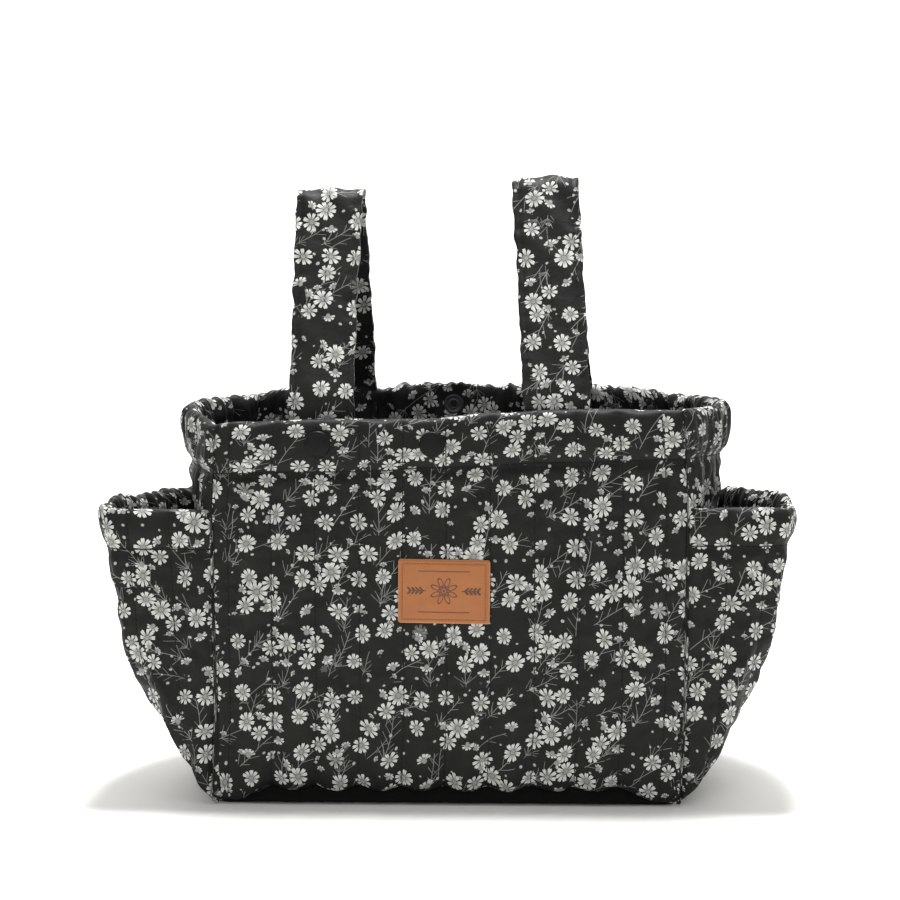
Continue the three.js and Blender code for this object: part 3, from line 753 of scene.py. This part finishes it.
def lathe(name, profile, place, segments=48):
    """A turned piece; place maps its own coordinates, with the axis along z, to the bag's."""
    verts, faces, rings = [], [], []
    for r, h in profile:
        count = segments if r > 0 else 1
        rings.append(list(range(len(verts), len(verts) + count)))
        for k in range(count):
            a = 2 * math.pi * k / segments
            verts.append((r * math.cos(a), r * math.sin(a), h))
    closing = [(rings[-1], rings[0])] if profile[0][0] > 0 else []
    for a, b in list(zip(rings, rings[1:])) + closing:
        for k in range(segments):
            m = (k + 1) % segments
            if len(a) == 1:
                faces.append([a[0], b[m], b[k]])
            elif len(b) == 1:
                faces.append([a[k], a[m], b[0]])
            else:
                faces.append([a[k], a[m], b[m], b[k]])
    obj = make_object(name, [place(v) for v in verts], faces)
    face_outward(obj)
    return obj


def snap_piece(node, body, facing):
    """A snap's turned piece in its CAD node's place; facing is the way along Y that it looks."""
    low, high = node_box(node)
    x, _, z = (low + high) / 2
    kind = node.rsplit("_", 1)[1]
    if kind == "cap":
        name, slot = node + "_face", "snap_cap"
        origin = (high[1] if facing > 0 else low[1]) - facing * CAP_HEIGHT
    else:
        name, slot = node + "_ring", "snap_metal"
        origin = low[1] if facing > 0 else high[1]
    obj = lathe(name, SNAP_PROFILES[kind], lambda v: (x + v[0], origin + facing * v[2], z + v[1]))
    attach(obj, body)
    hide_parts(node)
    return obj


caps = [snap_piece(*piece) for piece in (
    ("closure_front_cap", "bag", -1), ("closure_back_cap", "bag", 1), ("left_strap_wall_cap", "bag", -1),
    ("right_strap_wall_cap", "bag", 1), ("left_strap_snap_cap", "left_strap", 1),
    ("right_strap_snap_cap", "right_strap", -1))]
rings = [snap_piece(*piece) for piece in (
    ("closure_stud", "bag", 1), ("left_strap_stud", "bag", 1), ("right_strap_stud", "bag", -1),
    ("closure_socket", "bag", -1), ("left_strap_socket", "left_strap", -1), ("right_strap_socket", "right_strap", 1))]


# ---------------------------------------------------------------- stitches


def stitch_mesh(name, centres, directions, normals, length, radius):
    """Short threads lying on the cloth, each a slim spindle half sunk into it."""
    d, n = (v / np.linalg.norm(v, axis=1, keepdims=True) for v in (directions, normals))
    side = np.cross(n, d)
    side /= np.linalg.norm(side, axis=1, keepdims=True)
    rings_of = ((-0.5, 0.35), (-0.28, 1.0), (0.28, 1.0), (0.5, 0.35))
    sides = 6
    per = len(rings_of) * sides
    verts = []
    for along, fat in rings_of:
        for k in range(sides):
            a = 2 * math.pi * k / sides
            round_it = (side * math.cos(a) + n * math.sin(a)) * radius * fat
            verts.append(centres + d * (along * length) + round_it - n * radius * (1 - fat) * 0.9)
    unit = [[r * sides + k, r * sides + (k + 1) % sides, (r + 1) * sides + (k + 1) % sides, (r + 1) * sides + k]
            for r in range(len(rings_of) - 1) for k in range(sides)]
    unit += [list(range(sides))[::-1], list(range(per - sides, per))]
    faces = [[i * per + v for v in face] for i in range(len(centres)) for face in unit]
    obj = make_object(name, np.stack(verts, 1).reshape(-1, 3), faces)
    face_outward(obj)
    return obj


def wall_stitches(wall, outside):
    """Every stitch of a wall's quilting lines and of its hem: centres, directions and outward normals."""
    runs = []
    for line in wall.lines:
        for start, stop in ((12.0, wall.hem - 2.0), (wall.hem + 2.0, wall.rim - 3.0)):
            z = np.arange(start, stop, STITCH_PITCH)
            runs.append((np.full_like(z, line), z, 0.0, 1.0))
    u = np.arange(-wall.length / 2 + 3, wall.length / 2 - 3, STITCH_PITCH)
    runs.append((u, np.full_like(u, wall.hem), 1.0, 0.0))
    parts = []
    for u, z, du, dz in runs:
        p, n = wall.grid_point(u, z, outside)
        q, _ = wall.grid_point(u + du, z + dz, outside)
        found, centres, normals = wall.cloth.land(p, n)
        parts.append((centres, (q - p)[found], normals))
    return [np.concatenate(a) for a in zip(*parts)]


def strap_stitches(side):
    """Two rows of topstitching near the strap's edges and one along its middle, on both faces."""
    path, direction, out, _ = strap_line(side, STITCH_PITCH)
    cloth = Cloth(straps[side])
    nothing = np.zeros(len(path))
    parts = []
    for across in (-STRAP_HALF + 3.4, 0.0, STRAP_HALF - 3.4):
        for sign in (1, -1):
            p = np.column_stack([nothing + across, path])
            start = place_strap(side, p)
            way = place_strap(side, p + np.column_stack([nothing, out * sign])) - start
            run = place_strap(side, p + np.column_stack([nothing, direction])) - start
            found, centres, normals = cloth.land(start, way, 5.0)
            parts.append((centres, run[found], normals))
    obj = stitch_mesh(f"{side}_strap_stitches", *(np.concatenate(a) for a in zip(*parts)), 2.0, 0.25)
    blend_strap(obj)
    return obj


stitches = []
for wall in walls:
    both = [wall_stitches(wall, outside) for outside in (True, False)]
    thread = stitch_mesh(f"{wall.name}_stitches", *(np.concatenate(a) for a in zip(*both)), 2.0, 0.27)
    stitches.append(of_bag(thread))
stitches += [strap_stitches(side) for side in straps]


# ---------------------------------------------------------------- label
LABEL_WIDTH, LABEL_HEIGHT, LABEL_THICK = 53.0, 37.5, 1.4
LABEL_CORNER = 1.6
LABEL_TILT = math.radians(-0.8)
LABEL_SEAM = 2.4  # how far in from the edge it is stitched


def label_motif(x, z):
    """1 where the label is marked: a plain eight-petalled flower, two sprigs of leaves and two ruled lines."""
    up = z - 0.5
    away = np.hypot(x, up)
    cell = (np.arctan2(up, x) * 8 / (2 * math.pi)) % 1 - 0.5
    petal = ((away - 5.2) / 2.9) ** 2 + (away * np.sin(cell * 2 * math.pi / 8) / 1.35) ** 2
    flower = bell(petal - 0.85, 0.28) * (np.abs(away - 5.2) < 4.2) + bell(away - 1.75, 0.28) + 0.8 * (away < 0.8)
    along = np.abs(x) - 10.5
    sprig = bell(up, 0.28) * ((along > 0) & (along < 10))
    c, s = math.cos(0.75), math.sin(0.75)
    for i in range(4):
        for side in (-1, 1):
            lx, lz = along - (1.6 + 2.3 * i), up * side
            leaf = (lx * c + lz * s - 1.5) ** 2 / 2.2 + (-lx * s + lz * c) ** 2 / 0.3 < 1
            sprig = np.maximum(sprig, leaf)
    rules = np.maximum(bell(z + 12.0, 0.25), bell(z - 12.0, 0.25)) * (np.abs(x) < 15)
    return np.clip(flower + sprig + rules, 0, 1)


def build_label():
    """The leather patch and the stitches round it."""
    low, high = node_box("leather_label")
    centre = (low + high) / 2
    half_w, half_h = LABEL_WIDTH / 2, LABEL_HEIGHT / 2

    def placed(x, y, z):
        """Places on the label, tilted and moved to where it is."""
        c, s = math.cos(LABEL_TILT), math.sin(LABEL_TILT)
        return np.stack([x * c - z * s + centre[0], y + high[1] + 0.2, x * s + z * c + centre[2]], -1)

    X, Z = np.meshgrid(np.linspace(-half_w, half_w, 191), np.linspace(-half_h, half_h, 135))
    edge = np.minimum(half_w - np.abs(X), half_h - np.abs(Z))
    motif = label_motif(X, Z)
    y = -LABEL_THICK + 0.5 * bell(edge, 0.7) + 0.28 * motif + 0.25 * bell(edge - LABEL_SEAM, 0.5)
    y = y - 0.15 * np.sin(np.pi * np.clip(edge / 12, 0, 1) / 2) + 0.05 * wander(X, Z, 3, 9.0)
    # the corners are rounded by pulling the grid in
    over_x = np.maximum(np.abs(X) - (half_w - LABEL_CORNER), 0)
    over_z = np.maximum(np.abs(Z) - (half_h - LABEL_CORNER), 0)
    over = np.hypot(over_x, over_z)
    k = np.where(over > 1e-6, np.maximum(over_x, over_z) / np.maximum(over, 1e-6), 1.0)
    round_x = np.sign(X) * (np.minimum(np.abs(X), half_w - LABEL_CORNER) + over_x * k)
    round_z = np.sign(Z) * (np.minimum(np.abs(Z), half_h - LABEL_CORNER) + over_z * k)
    front = np.stack([round_x, y, round_z], -1).reshape(-1, 3)
    verts = np.concatenate([front, front * (1, 0, 1)])
    faces, strip = slab_faces(*X.shape)
    all_faces = faces.tolist() + (faces[:, ::-1] + len(front)).tolist() + strip
    obj = make_object("leather_patch", placed(*verts.T), all_faces)
    for name, values, behind in (("motif", motif, 0.0), ("cut_edge", bell(edge, 0.45), 1.0)):
        marks = np.concatenate([values.ravel(), np.full(len(front), behind)])
        obj.data.attributes.new(name, "FLOAT", "POINT").data.foreach_set("value", marks)
    face_outward(obj)
    # the stitches round the border
    w, h = half_w - LABEL_SEAM, half_h - LABEL_SEAM
    corners = np.array([(-w, -h), (w, -h), (w, h), (-w, h)])
    spots, runs = [], []
    for a, b in zip(corners, np.roll(corners, -1, axis=0)):
        count = int(np.linalg.norm(b - a) / 2.0)
        spots += [a + (b - a) * (i + 0.5) / count for i in range(count)]
        runs += [(b - a) / np.linalg.norm(b - a)] * count
    (x, z), (dx, dz) = np.array(spots).T, np.array(runs).T
    flat = np.zeros(len(x))
    directions = placed(dx, flat, dz) - placed(flat, flat, flat)
    outward = np.tile([0, -1.0, 0], (len(x), 1))
    on_leather = placed(x, flat - LABEL_THICK + 0.05, z)
    thread = stitch_mesh("leather_patch_stitches", on_leather, directions, outward, 1.35, 0.2)
    return of_bag(obj, ["leather_label"]), of_bag(thread)


label, label_thread = build_label()


# ---------------------------------------------------------------- node helpers


class Value:
    """A node's output; arithmetic on it adds the nodes that do it."""

    def __init__(self, graph, socket):
        self.graph, self.socket = graph, socket

    def __add__(self, other):
        return self.graph.math("ADD", self, other)

    def __sub__(self, other):
        return self.graph.math("SUBTRACT", self, other)

    def __mul__(self, other):
        return self.graph.math("MULTIPLY", self, other)

    def __truediv__(self, other):
        return self.graph.math("DIVIDE", self, other)

    def __pow__(self, other):
        return self.graph.math("POWER", self, other)

    def __abs__(self):
        return self.graph.math("ABSOLUTE", self)

    def step(self, low, high, out_low=0.0, out_high=1.0):
        """Eases from out_low to out_high while this value goes from low to high."""
        values = (self, low, high, out_low, out_high)
        return self.graph.make("MapRange", values, interpolation_type="SMOOTHSTEP")


class Graph:
    """A node tree under construction."""

    def __init__(self, tree):
        self.tree = tree

    def put(self, socket, value):
        if isinstance(value, Value):
            self.tree.links.new(value.socket, socket)
        elif value is not None:
            socket.default_value = value

    def make(self, kind, values=(), output=0, **settings):
        """Adds a node, feeds its inputs by place or by name, and gives one output, or all of them for None."""
        node = self.tree.nodes.new("ShaderNode" + kind)
        for key, value in settings.items():
            setattr(node, key, value)
        for key, value in values.items() if isinstance(values, dict) else enumerate(values):
            self.put(node.inputs[key], value)
        if output is None:
            return [Value(self, socket) for socket in node.outputs]
        return Value(self, node.outputs[output])

    def math(self, operation, *values):
        return self.make("Math", values, operation=operation)

    def vec(self, operation, *values):
        return self.make("VectorMath", values, operation=operation)

    def in_mm(self, vector):
        return self.make("VectorMath", {0: vector, "Scale": 1000.0}, operation="SCALE")

    def split(self, vector):
        return self.make("SeparateXYZ", (vector,), None)

    def join(self, *parts):
        return self.make("CombineXYZ", parts)

    def attribute(self, name):
        return self.make("Attribute", output="Fac", attribute_name=name)

    def noise(self, vector, scale, detail, rough=0.5):
        values = {"Vector": vector, "Scale": scale, "Detail": detail, "Roughness": rough}
        return self.make("TexNoise", values, noise_dimensions="3D")

    def white(self, *parts):
        return self.make("TexWhiteNoise", {"Vector": self.join(*parts)}, noise_dimensions="3D")

    def voronoi(self, vector, cell, randomness):
        """Distance, colour and place of the nearest of a plane's scattered spots, and more."""
        values = {"Vector": vector, "Scale": 1.0 / cell, "Randomness": randomness}
        return self.make("TexVoronoi", values, None, voronoi_dimensions="2D", feature="F1")

    def mix(self, share, a, b):
        """A mix of two colours."""
        return self.make("Mix", {0: share, 6: a, 7: b}, 2, data_type="RGBA")

    def blend(self, share, a, b):
        """A mix of two numbers."""
        return self.make("Mix", {0: share, 2: a, 3: b}, data_type="FLOAT")

    def rotate(self, vector, angle):
        return self.make("VectorRotate", {"Vector": vector, "Angle": angle}, rotation_type="Z_AXIS")

    def group(self, tree, **values):
        return self.make("Group", values, None, node_tree=tree)


def new_group(name, inputs, outputs):
    """An empty node group: its graph, its input values and its output sockets."""
    tree = bpy.data.node_groups.new(name, "ShaderNodeTree")
    for sockets, way in ((inputs, "INPUT"), (outputs, "OUTPUT")):
        for socket in sockets:
            kind = "NodeSocketVector" if socket in ("Local", "Cloth") else "NodeSocketFloat"
            tree.interface.new_socket(name=socket, in_out=way, socket_type=kind)
    g = Graph(tree)
    entry = tree.nodes.new("NodeGroupInput").outputs
    return g, [Value(g, entry[socket]) for socket in inputs], tree.nodes.new("NodeGroupOutput").inputs


# ---------------------------------------------------------------- the flower print
CLUSTERS = (41.0, 0.66)  # the clusters' cell in millimetres and how irregular they lie
LEAF_FAN = 1.35 * math.pi / 9  # the angle between a sprig's lowest leaves


def daisy_group():
    """A round daisy in local millimetres: Mask where it is printed, Shade for how light it is there."""
    inputs = ("Local", "Radius", "Petals", "Seed")
    g, (local, radius, petals, seed), out = new_group("daisy", inputs, ("Mask", "Shade"))
    x, y, _ = g.split(local)
    r = g.math("SQRT", x * x + y * y)
    turn = g.math("ARCTAN2", y, x) / (2 * math.pi) * petals + seed
    which = g.math("FLOOR", turn)
    phi = (turn - which - 0.5) / petals * (2 * math.pi)
    rand = g.white(g.math("MODULO", which + 64.0, petals), seed, 0.5)
    length = radius * (rand * 0.16 + 0.86)
    rho = r / length
    across = abs(r * g.math("SINE", phi) + (rand - 0.5) * (r * 0.12))
    w = across / (length * (rho * 0.17 + 0.06))
    notch = rho.step(0.76, 0.98) * w.step(0.42, 0.0, 0.0, 0.7)
    petal = (abs((rho - 0.6) / 0.4) ** 3.4 + w**2.8 + notch).step(1.0, 0.78)
    ring = r / radius
    disc = ring.step(0.25, 0.2)
    # etched lines along the petals, darker towards the middle
    vein = abs(w - 0.36).step(0.0, 0.22, 0.6, 1.0) * w.step(0.0, 0.16, 0.66, 1.0)
    petal_shade = vein * rho.step(0.24, 0.78, 0.42, 1.0)
    grain = g.noise(g.vec("ADD", local, g.join(seed)), 2.9, 2.0, 0.7)
    shade = g.blend(disc, petal_shade, grain.step(0.42, 0.58, 0.14, 0.6))
    g.put(out["Mask"], g.math("MAXIMUM", petal, disc))
    g.put(out["Shade"], shade * abs(ring - 0.25).step(0.0, 0.05, 0.5, 1.0))
    return g.tree


def side_flower_group(daisy):
    """A daisy seen from the side, opening upwards, with its green cup below."""
    g, (local, radius, seed), out = new_group("side_daisy", ("Local", "Radius", "Seed"), ("Mask", "Shade"))
    x, y, _ = g.split(local)
    mask, shade = g.group(daisy, Local=g.join(x, y * 1.28), Radius=radius, Petals=9.0, Seed=seed)
    upper = (y / radius).step(-0.16, -0.04)
    cup_x, cup_y = x / (radius * 0.3), (y + radius * 0.16) / (radius * 0.3)
    cup = (cup_x * cup_x + cup_y * cup_y).step(1.15, 0.8)
    g.put(out["Mask"], g.math("MAXIMUM", mask * upper, cup))
    g.put(out["Shade"], g.blend(cup, shade, 0.36))
    return g.tree


def sprig_group():
    """A thin stem along +Y with paired twigs and a burst of fine leaves at its foot."""
    g, (local, length, seed), out = new_group("sprig", ("Local", "Length", "Seed"), ("Mask",))
    x, y, _ = g.split(local)
    x = x + (seed - 0.5) * (y * y * 0.016)
    ax, side = abs(x), g.math("SIGN", x)
    inside = y.step(0.0, 0.6) * (y - length).step(0.0, -0.8)
    main = ax.step(0.26, 0.08) * inside
    t = (y - ax * 1.25) / 5.6 + side * 0.19
    index = g.math("FLOOR", t)
    rand = g.white(index, side, seed)
    twig = (abs(t - index - 0.5) * 3.5).step(0.2, 0.06) * (ax - rand * 6.5).step(0.0, -0.6)
    twig = twig * (rand.step(0.34, 0.36) * inside)
    # a burst of leaves near the foot
    burst_y = y - 2.0
    r = g.math("SQRT", x * x + burst_y * burst_y)
    ray = g.math("ARCTAN2", x, burst_y) * (1 / LEAF_FAN)
    which = g.math("ROUND", ray)
    reach = g.white(which, 3.7, seed) * 5.5 + 3.6
    burst = (abs(ray - which) * (r * LEAF_FAN)).step(0.21, 0.06) * (r - reach).step(0.0, -0.5)
    burst = burst * abs(which).step(2.6, 2.4) * seed.step(0.4, 0.42)
    g.put(out["Mask"], g.math("MAXIMUM", g.math("MAXIMUM", main, twig), burst))
    return g.tree


def print_group():
    """The printed pattern over flat cloth in millimetres: Ink from 0 to 1, and Shade for how light the ink is."""
    daisy = daisy_group()
    side = side_flower_group(daisy)
    sprig = sprig_group()
    g, (cloth,), out = new_group("flower_print", ("Cloth",), ("Ink", "Shade"))

    def spread(cell, randomness, shift=(0.0, 0.0, 0.0)):
        """Scattered spots: the place as seen from the nearest one, its random numbers, and where it is."""
        moved = g.vec("ADD", cloth, shift)
        _, colour, position, *_ = g.voronoi(moved, cell, randomness)
        return g.vec("SUBTRACT", moved, position), g.split(colour), g.vec("SUBTRACT", position, shift)

    def stem(local, angle, foot, length, seed):
        turned = g.vec("ADD", g.rotate(local, angle), (0.0, foot, 0.0))
        return g.group(sprig, Local=turned, Length=length, Seed=seed)[0]

    # sprigs lie under everything
    local, rnd, _ = spread(30.0, 0.75, (11.0, 7.0, 0.0))
    printed = [(stem(local, rnd[0] * 1.25 + 0.05, 13.0, rnd[1] * 9.0 + 20.0, rnd[2]), 0.33)]
    local, rnd, _ = spread(29.0, 0.8, (140.0, 61.0, 0.0))
    printed.append((stem(local, rnd[1] * 1.5 - 0.1, 10.0, rnd[0] * 8.0 + 14.0, rnd[2]), 0.26))
    # buds
    local, rnd, _ = spread(8.6, 0.85, (3.0, 90.0, 0.0))
    x, y, _ = g.split(g.rotate(local, rnd[0] * 6.28))
    bud = ((x / 0.95) ** 2.0 + (y / 0.72) ** 2.0) / (rnd[1] * 1.3 + 0.35)
    printed.append((bud.step(1.25, 0.7) * rnd[2].step(0.52, 0.54), 0.55))
    # half-open flowers, small and seen from the side
    local, rnd, _ = spread(12.5, 0.85, (31.0, 45.0, 0.0))
    mask, shade = g.group(side, Local=g.rotate(local, rnd[0] * 2.2 - 1.1), Radius=rnd[1] * 1.5 + 1.9, Seed=rnd[0])
    printed.append((mask * rnd[2].step(0.64, 0.65), shade * 0.85))
    # single flowers, which stay away from the clusters
    local, rnd, place = spread(17.6, 0.55, (57.0, 23.0, 0.0))
    nearest = g.voronoi(place, *CLUSTERS)[2]
    clear = g.make("VectorMath", (place, nearest), 1, operation="DISTANCE").step(11.5, 12.0)
    radius = rnd[0] * 2.2 + 4.9
    stretched = g.vec("MULTIPLY", g.rotate(local, rnd[1] * 3.0), g.join(1.0, rnd[0] * 0.3 + 1.0))
    petals = g.math("ROUND", rnd[1] * 1.6 + 7.8)
    full = g.group(daisy, Local=stretched, Radius=radius, Petals=petals, Seed=rnd[1] * 7.0)
    half = g.group(side, Local=g.rotate(local, rnd[1] * 2.4 - 1.2), Radius=radius * 0.74, Seed=rnd[0])
    from_side = rnd[2].step(0.8, 0.81)
    mask, shade = (g.blend(from_side, a, b) for a, b in zip(full, half))
    printed.append((mask * clear, shade))
    # clusters of two flowers from the side and two full ones
    local, rnd, _ = spread(*CLUSTERS)
    turned = g.rotate(local, rnd[0] - 0.5)
    for x, y, radius, aim, seed in ((-5.6, 7.4, 4.0, 0.5, 0.2), (5.9, -6.6, 4.2, 2.6, 0.7)):
        spot = g.rotate(g.vec("SUBTRACT", turned, (x, y, 0.0)), rnd[2] * 0.8 + aim)
        printed.append(g.group(side, Local=spot, Radius=radius, Seed=rnd[1] + seed))
    for x, y, radius, petals, seed in ((-5.5, -2.4, 5.0, 8.0, 2.3), (3.1, 4.2, 5.9, 9.0, 5.1)):
        spot = g.vec("SUBTRACT", turned, (x, y, 0.0))
        printed.append(g.group(daisy, Local=spot, Radius=rnd[2] * 0.8 + radius, Petals=petals, Seed=rnd[1] + seed))

    ink, shade = printed[0]
    for mask, light in printed[1:]:
        shade = g.blend(mask, shade, light)
        ink = g.math("MAXIMUM", ink, mask)
    g.put(out["Ink"], ink)
    g.put(out["Shade"], shade)
    return g.tree


# ---------------------------------------------------------------- materials


def new_material(name):
    mat = bpy.data.materials.new(name)
    mat.use_nodes = True
    mat.node_tree.nodes.clear()
    return mat, Graph(mat.node_tree)


def finish_material(g, colour, roughness, bumps, fixed=None):
    """Adds the shader; bumps are (height, strength, distance in metres), each laid over the one before."""
    normal = None
    for height, strength, distance in bumps:
        normal = g.make("Bump", {"Height": height, "Strength": strength, "Distance": distance, "Normal": normal})
    values = {"Base Color": colour, "Roughness": roughness, "Normal": normal, **(fixed or {})}
    shader = g.make("BsdfPrincipled", values)
    g.put(g.tree.nodes.new("ShaderNodeOutputMaterial").inputs[0], shader)


def fabric_material():
    """Black woven cotton with the flower print."""
    mat, g = new_material("floral_cloth")
    cloth = g.in_mm(g.make("UVMap", uv_map="Print"))
    ink, shade = g.group(print_group(), Cloth=cloth)
    # woven ground: fine warp and weft, with slow changes of tone
    x, y, _ = g.split(cloth)
    weave = g.math("SINE", x * (2 * math.pi / 0.42)) * g.math("SINE", y * (2 * math.pi / 0.42))
    slub = g.noise(g.vec("MULTIPLY", cloth, (0.35, 3.0, 1.0)), 0.8, 2.0, 0.6)
    tone = g.noise(cloth, 0.09, 1.0) * 0.35 + slub * 0.25
    ground = g.mix(tone, (0.0065, 0.0065, 0.0062, 1), (0.0135, 0.0135, 0.0128, 1))
    ground = g.mix(weave * 0.12 + 0.12, ground, (0.017, 0.017, 0.0165, 1))
    light = g.mix(shade, (0.02, 0.021, 0.019, 1), (0.55, 0.56, 0.53, 1))
    colour = g.mix(ink * 0.97, ground, light)
    # painted shade: the colour darkens to near-black in narrow bands along the hem's stitches and the quilting lines
    for mark, width, depth in (("hem_place", 0.75, 0.85), ("line_place", 0.6, 0.6)):
        away = abs(g.attribute(mark) - 100.0)
        colour = g.mix(away.step(width, 0.15 * width, 0.0, depth), colour, (0.004, 0.004, 0.004, 1))
    bumps = [(weave * 0.35 + slub * 0.9, 0.22, 0.0001), (g.noise(cloth, 0.16, 3.0, 0.55), 0.5, 0.0012)]
    finish_material(g, colour, ink * 0.14 + (slub * 0.12 + 0.46), bumps,
                    {"Sheen Weight": 0.012, "Sheen Roughness": 0.4, "Specular IOR Level": 0.1})
    return mat


def leather_material():
    """Tan leather, pale along its cut edge and dark in the burnt motif."""
    mat, g = new_material("tan_leather")
    at = g.in_mm(g.make("TexCoord", output="Object"))
    pores = g.make("TexVoronoi", {"Vector": at, "Scale": 1.7}, voronoi_dimensions="3D", feature="F1")
    fine = g.noise(at, 2.2, 4.0, 0.6)
    colour = g.mix(g.noise(at, 0.07, 3.0, 0.6), (0.25, 0.078, 0.012, 1), (0.315, 0.103, 0.018, 1))
    colour = g.mix(fine * 0.3, colour, (0.19, 0.06, 0.015, 1))
    colour = g.mix(g.attribute("cut_edge") * 0.45, colour, (0.56, 0.27, 0.12, 1))
    colour = g.mix(g.attribute("motif").step(0.1, 0.65), colour, (0.075, 0.02, 0.006, 1))
    finish_material(g, colour, fine * 0.2 + 0.46, [(pores * 0.8 + fine * 0.6, 0.35, 0.00012)])
    return mat


def plain_material(name, dark, light, roughness, scale, bump=0.15, metallic=0.0, gloss=0.5):
    """A plain finish that varies between two colours in a fine grain."""
    mat, g = new_material(name)
    grain = g.noise(g.make("TexCoord", output="Object"), scale, 3.0, 0.6)
    colour = g.mix(grain, (*dark, 1), (*light, 1))
    finish_material(g, colour, grain * 0.15 + (roughness - 0.07), [(grain, bump, 0.0001)],
                    {"Metallic": metallic, "Specular IOR Level": gloss})
    return mat


def paint(objects, *materials):
    """Gives pieces their materials, and keeps which face has which."""
    for obj in objects:
        which = np.zeros(len(obj.data.polygons), int)
        obj.data.polygons.foreach_get("material_index", which)
        obj.data.materials.clear()
        for mat in materials:
            obj.data.materials.append(mat)
        obj.data.polygons.foreach_set("material_index", which)


cloth_mat = fabric_material()
paint([wall.obj for wall in walls] + list(straps.values()), cloth_mat)
# painted shade: the base's underside and edges are near-black cloth without print
paint([base], cloth_mat, plain_material("painted_shade_black_cloth", (0.004, 0.004, 0.0038), (0.007, 0.007, 0.0065), 0.85,
                                        2200.0, 0.3, gloss=0.03))
paint(stitches, plain_material("black_thread", (0.004, 0.004, 0.004), (0.008, 0.008, 0.008), 0.6, 3000.0, gloss=0.12))
paint(caps, plain_material("black_snap_cap", (0.0036, 0.0036, 0.0035), (0.0054, 0.0054, 0.0052), 0.4, 900.0, 0.08,
                           gloss=0.11))
paint(rings, plain_material("dark_snap_metal", (0.02, 0.02, 0.022), (0.045, 0.045, 0.05), 0.4, 700.0, 0.1, 0.5))
paint([label], leather_material())
paint([label_thread], plain_material("tan_thread", (0.14, 0.045, 0.012), (0.2, 0.07, 0.02), 0.6, 3000.0))


# ---------------------------------------------------------------- studio


def studio_floor():
    """A pale floor that sweeps up behind, in metres."""
    mat = bpy.data.materials.new("white_floor")
    mat.use_nodes = True
    bsdf = mat.node_tree.nodes["Principled BSDF"]
    bsdf.inputs["Base Color"].default_value = (0.93, 0.922, 0.9, 1)
    bsdf.inputs["Roughness"].default_value = 0.9
    sweep = [(1.6 + 0.9 * math.sin(a), 0.9 - 0.9 * math.cos(a)) for a in np.linspace(0, math.pi / 2, 24)]
    profile = [(-3.0, 0.0)] + sweep + [(2.5, 3.5)]
    verts = [(x, y, z) for y, z in profile for x in (-4.0, 4.0)]
    faces = [(2 * i, 2 * i + 1, 2 * i + 3, 2 * i + 2) for i in range(len(profile) - 1)]
    floor = make_object("floor", np.array(verts) / MM, faces)
    floor.data.materials.append(mat)


def area_light(name, location, target, size, size_y, power):
    light = bpy.data.lights.new(name, "AREA")
    light.shape = "RECTANGLE"
    light.size, light.size_y, light.energy = size, size_y, power
    obj = bpy.data.objects.new(name, light)
    obj.location = location
    obj.rotation_euler = (Vector(target) - Vector(location)).to_track_quat("-Z", "Y").to_euler()
    bpy.context.scene.collection.objects.link(obj)


def studio_camera():
    """The photograph's own view, fitted to the bag's corners and rims."""
    cam = bpy.data.cameras.new("camera")
    obj = bpy.data.objects.new("camera", cam)
    bpy.context.scene.collection.objects.link(obj)
    cam.sensor_width = 36.0
    cam.lens = 76.12
    azimuth, distance, height = math.radians(4.0), 1.152, 0.351
    yaw, pitch, roll = math.radians(0.553), math.radians(7.132), math.radians(0.2)
    obj.location = (distance * math.sin(azimuth), -distance * math.cos(azimuth), height)
    look = Vector((-math.sin(yaw) * math.cos(pitch), math.cos(yaw) * math.cos(pitch), -math.sin(pitch)))
    obj.rotation_euler = (look.to_track_quat("-Z", "Y") @ Quaternion((0, 0, 1), roll)).to_euler()
    cam.shift_x, cam.shift_y = -0.1344, -0.0084
    bpy.context.scene.camera = obj


studio_floor()
area_light("overhead_softbox", (0.03, 0.15, 1.9), (0, 0, 0), 0.45, 0.3, 66)
area_light("front_fill", (-0.5, -2.2, 1.0), (0, 0, 0.2), 1.8, 1.4, 14)
area_light("right_fill", (2.0, -0.9, 1.0), (0, 0, 0.2), 1.2, 1.2, 5)
area_light("backdrop_wash", (0.0, 0.9, 2.6), (0, 2.3, 0.6), 3.0, 1.0, 60)
world = bpy.data.worlds.new("studio")
world.use_nodes = True
background = world.node_tree.nodes["Background"].inputs
background[0].default_value = (1, 1, 1, 1)
background[1].default_value = 0.42
bpy.context.scene.world = world
bpy.context.scene.view_settings.view_transform = "Standard"
bpy.context.scene.view_settings.exposure = 0.0
studio_camera()
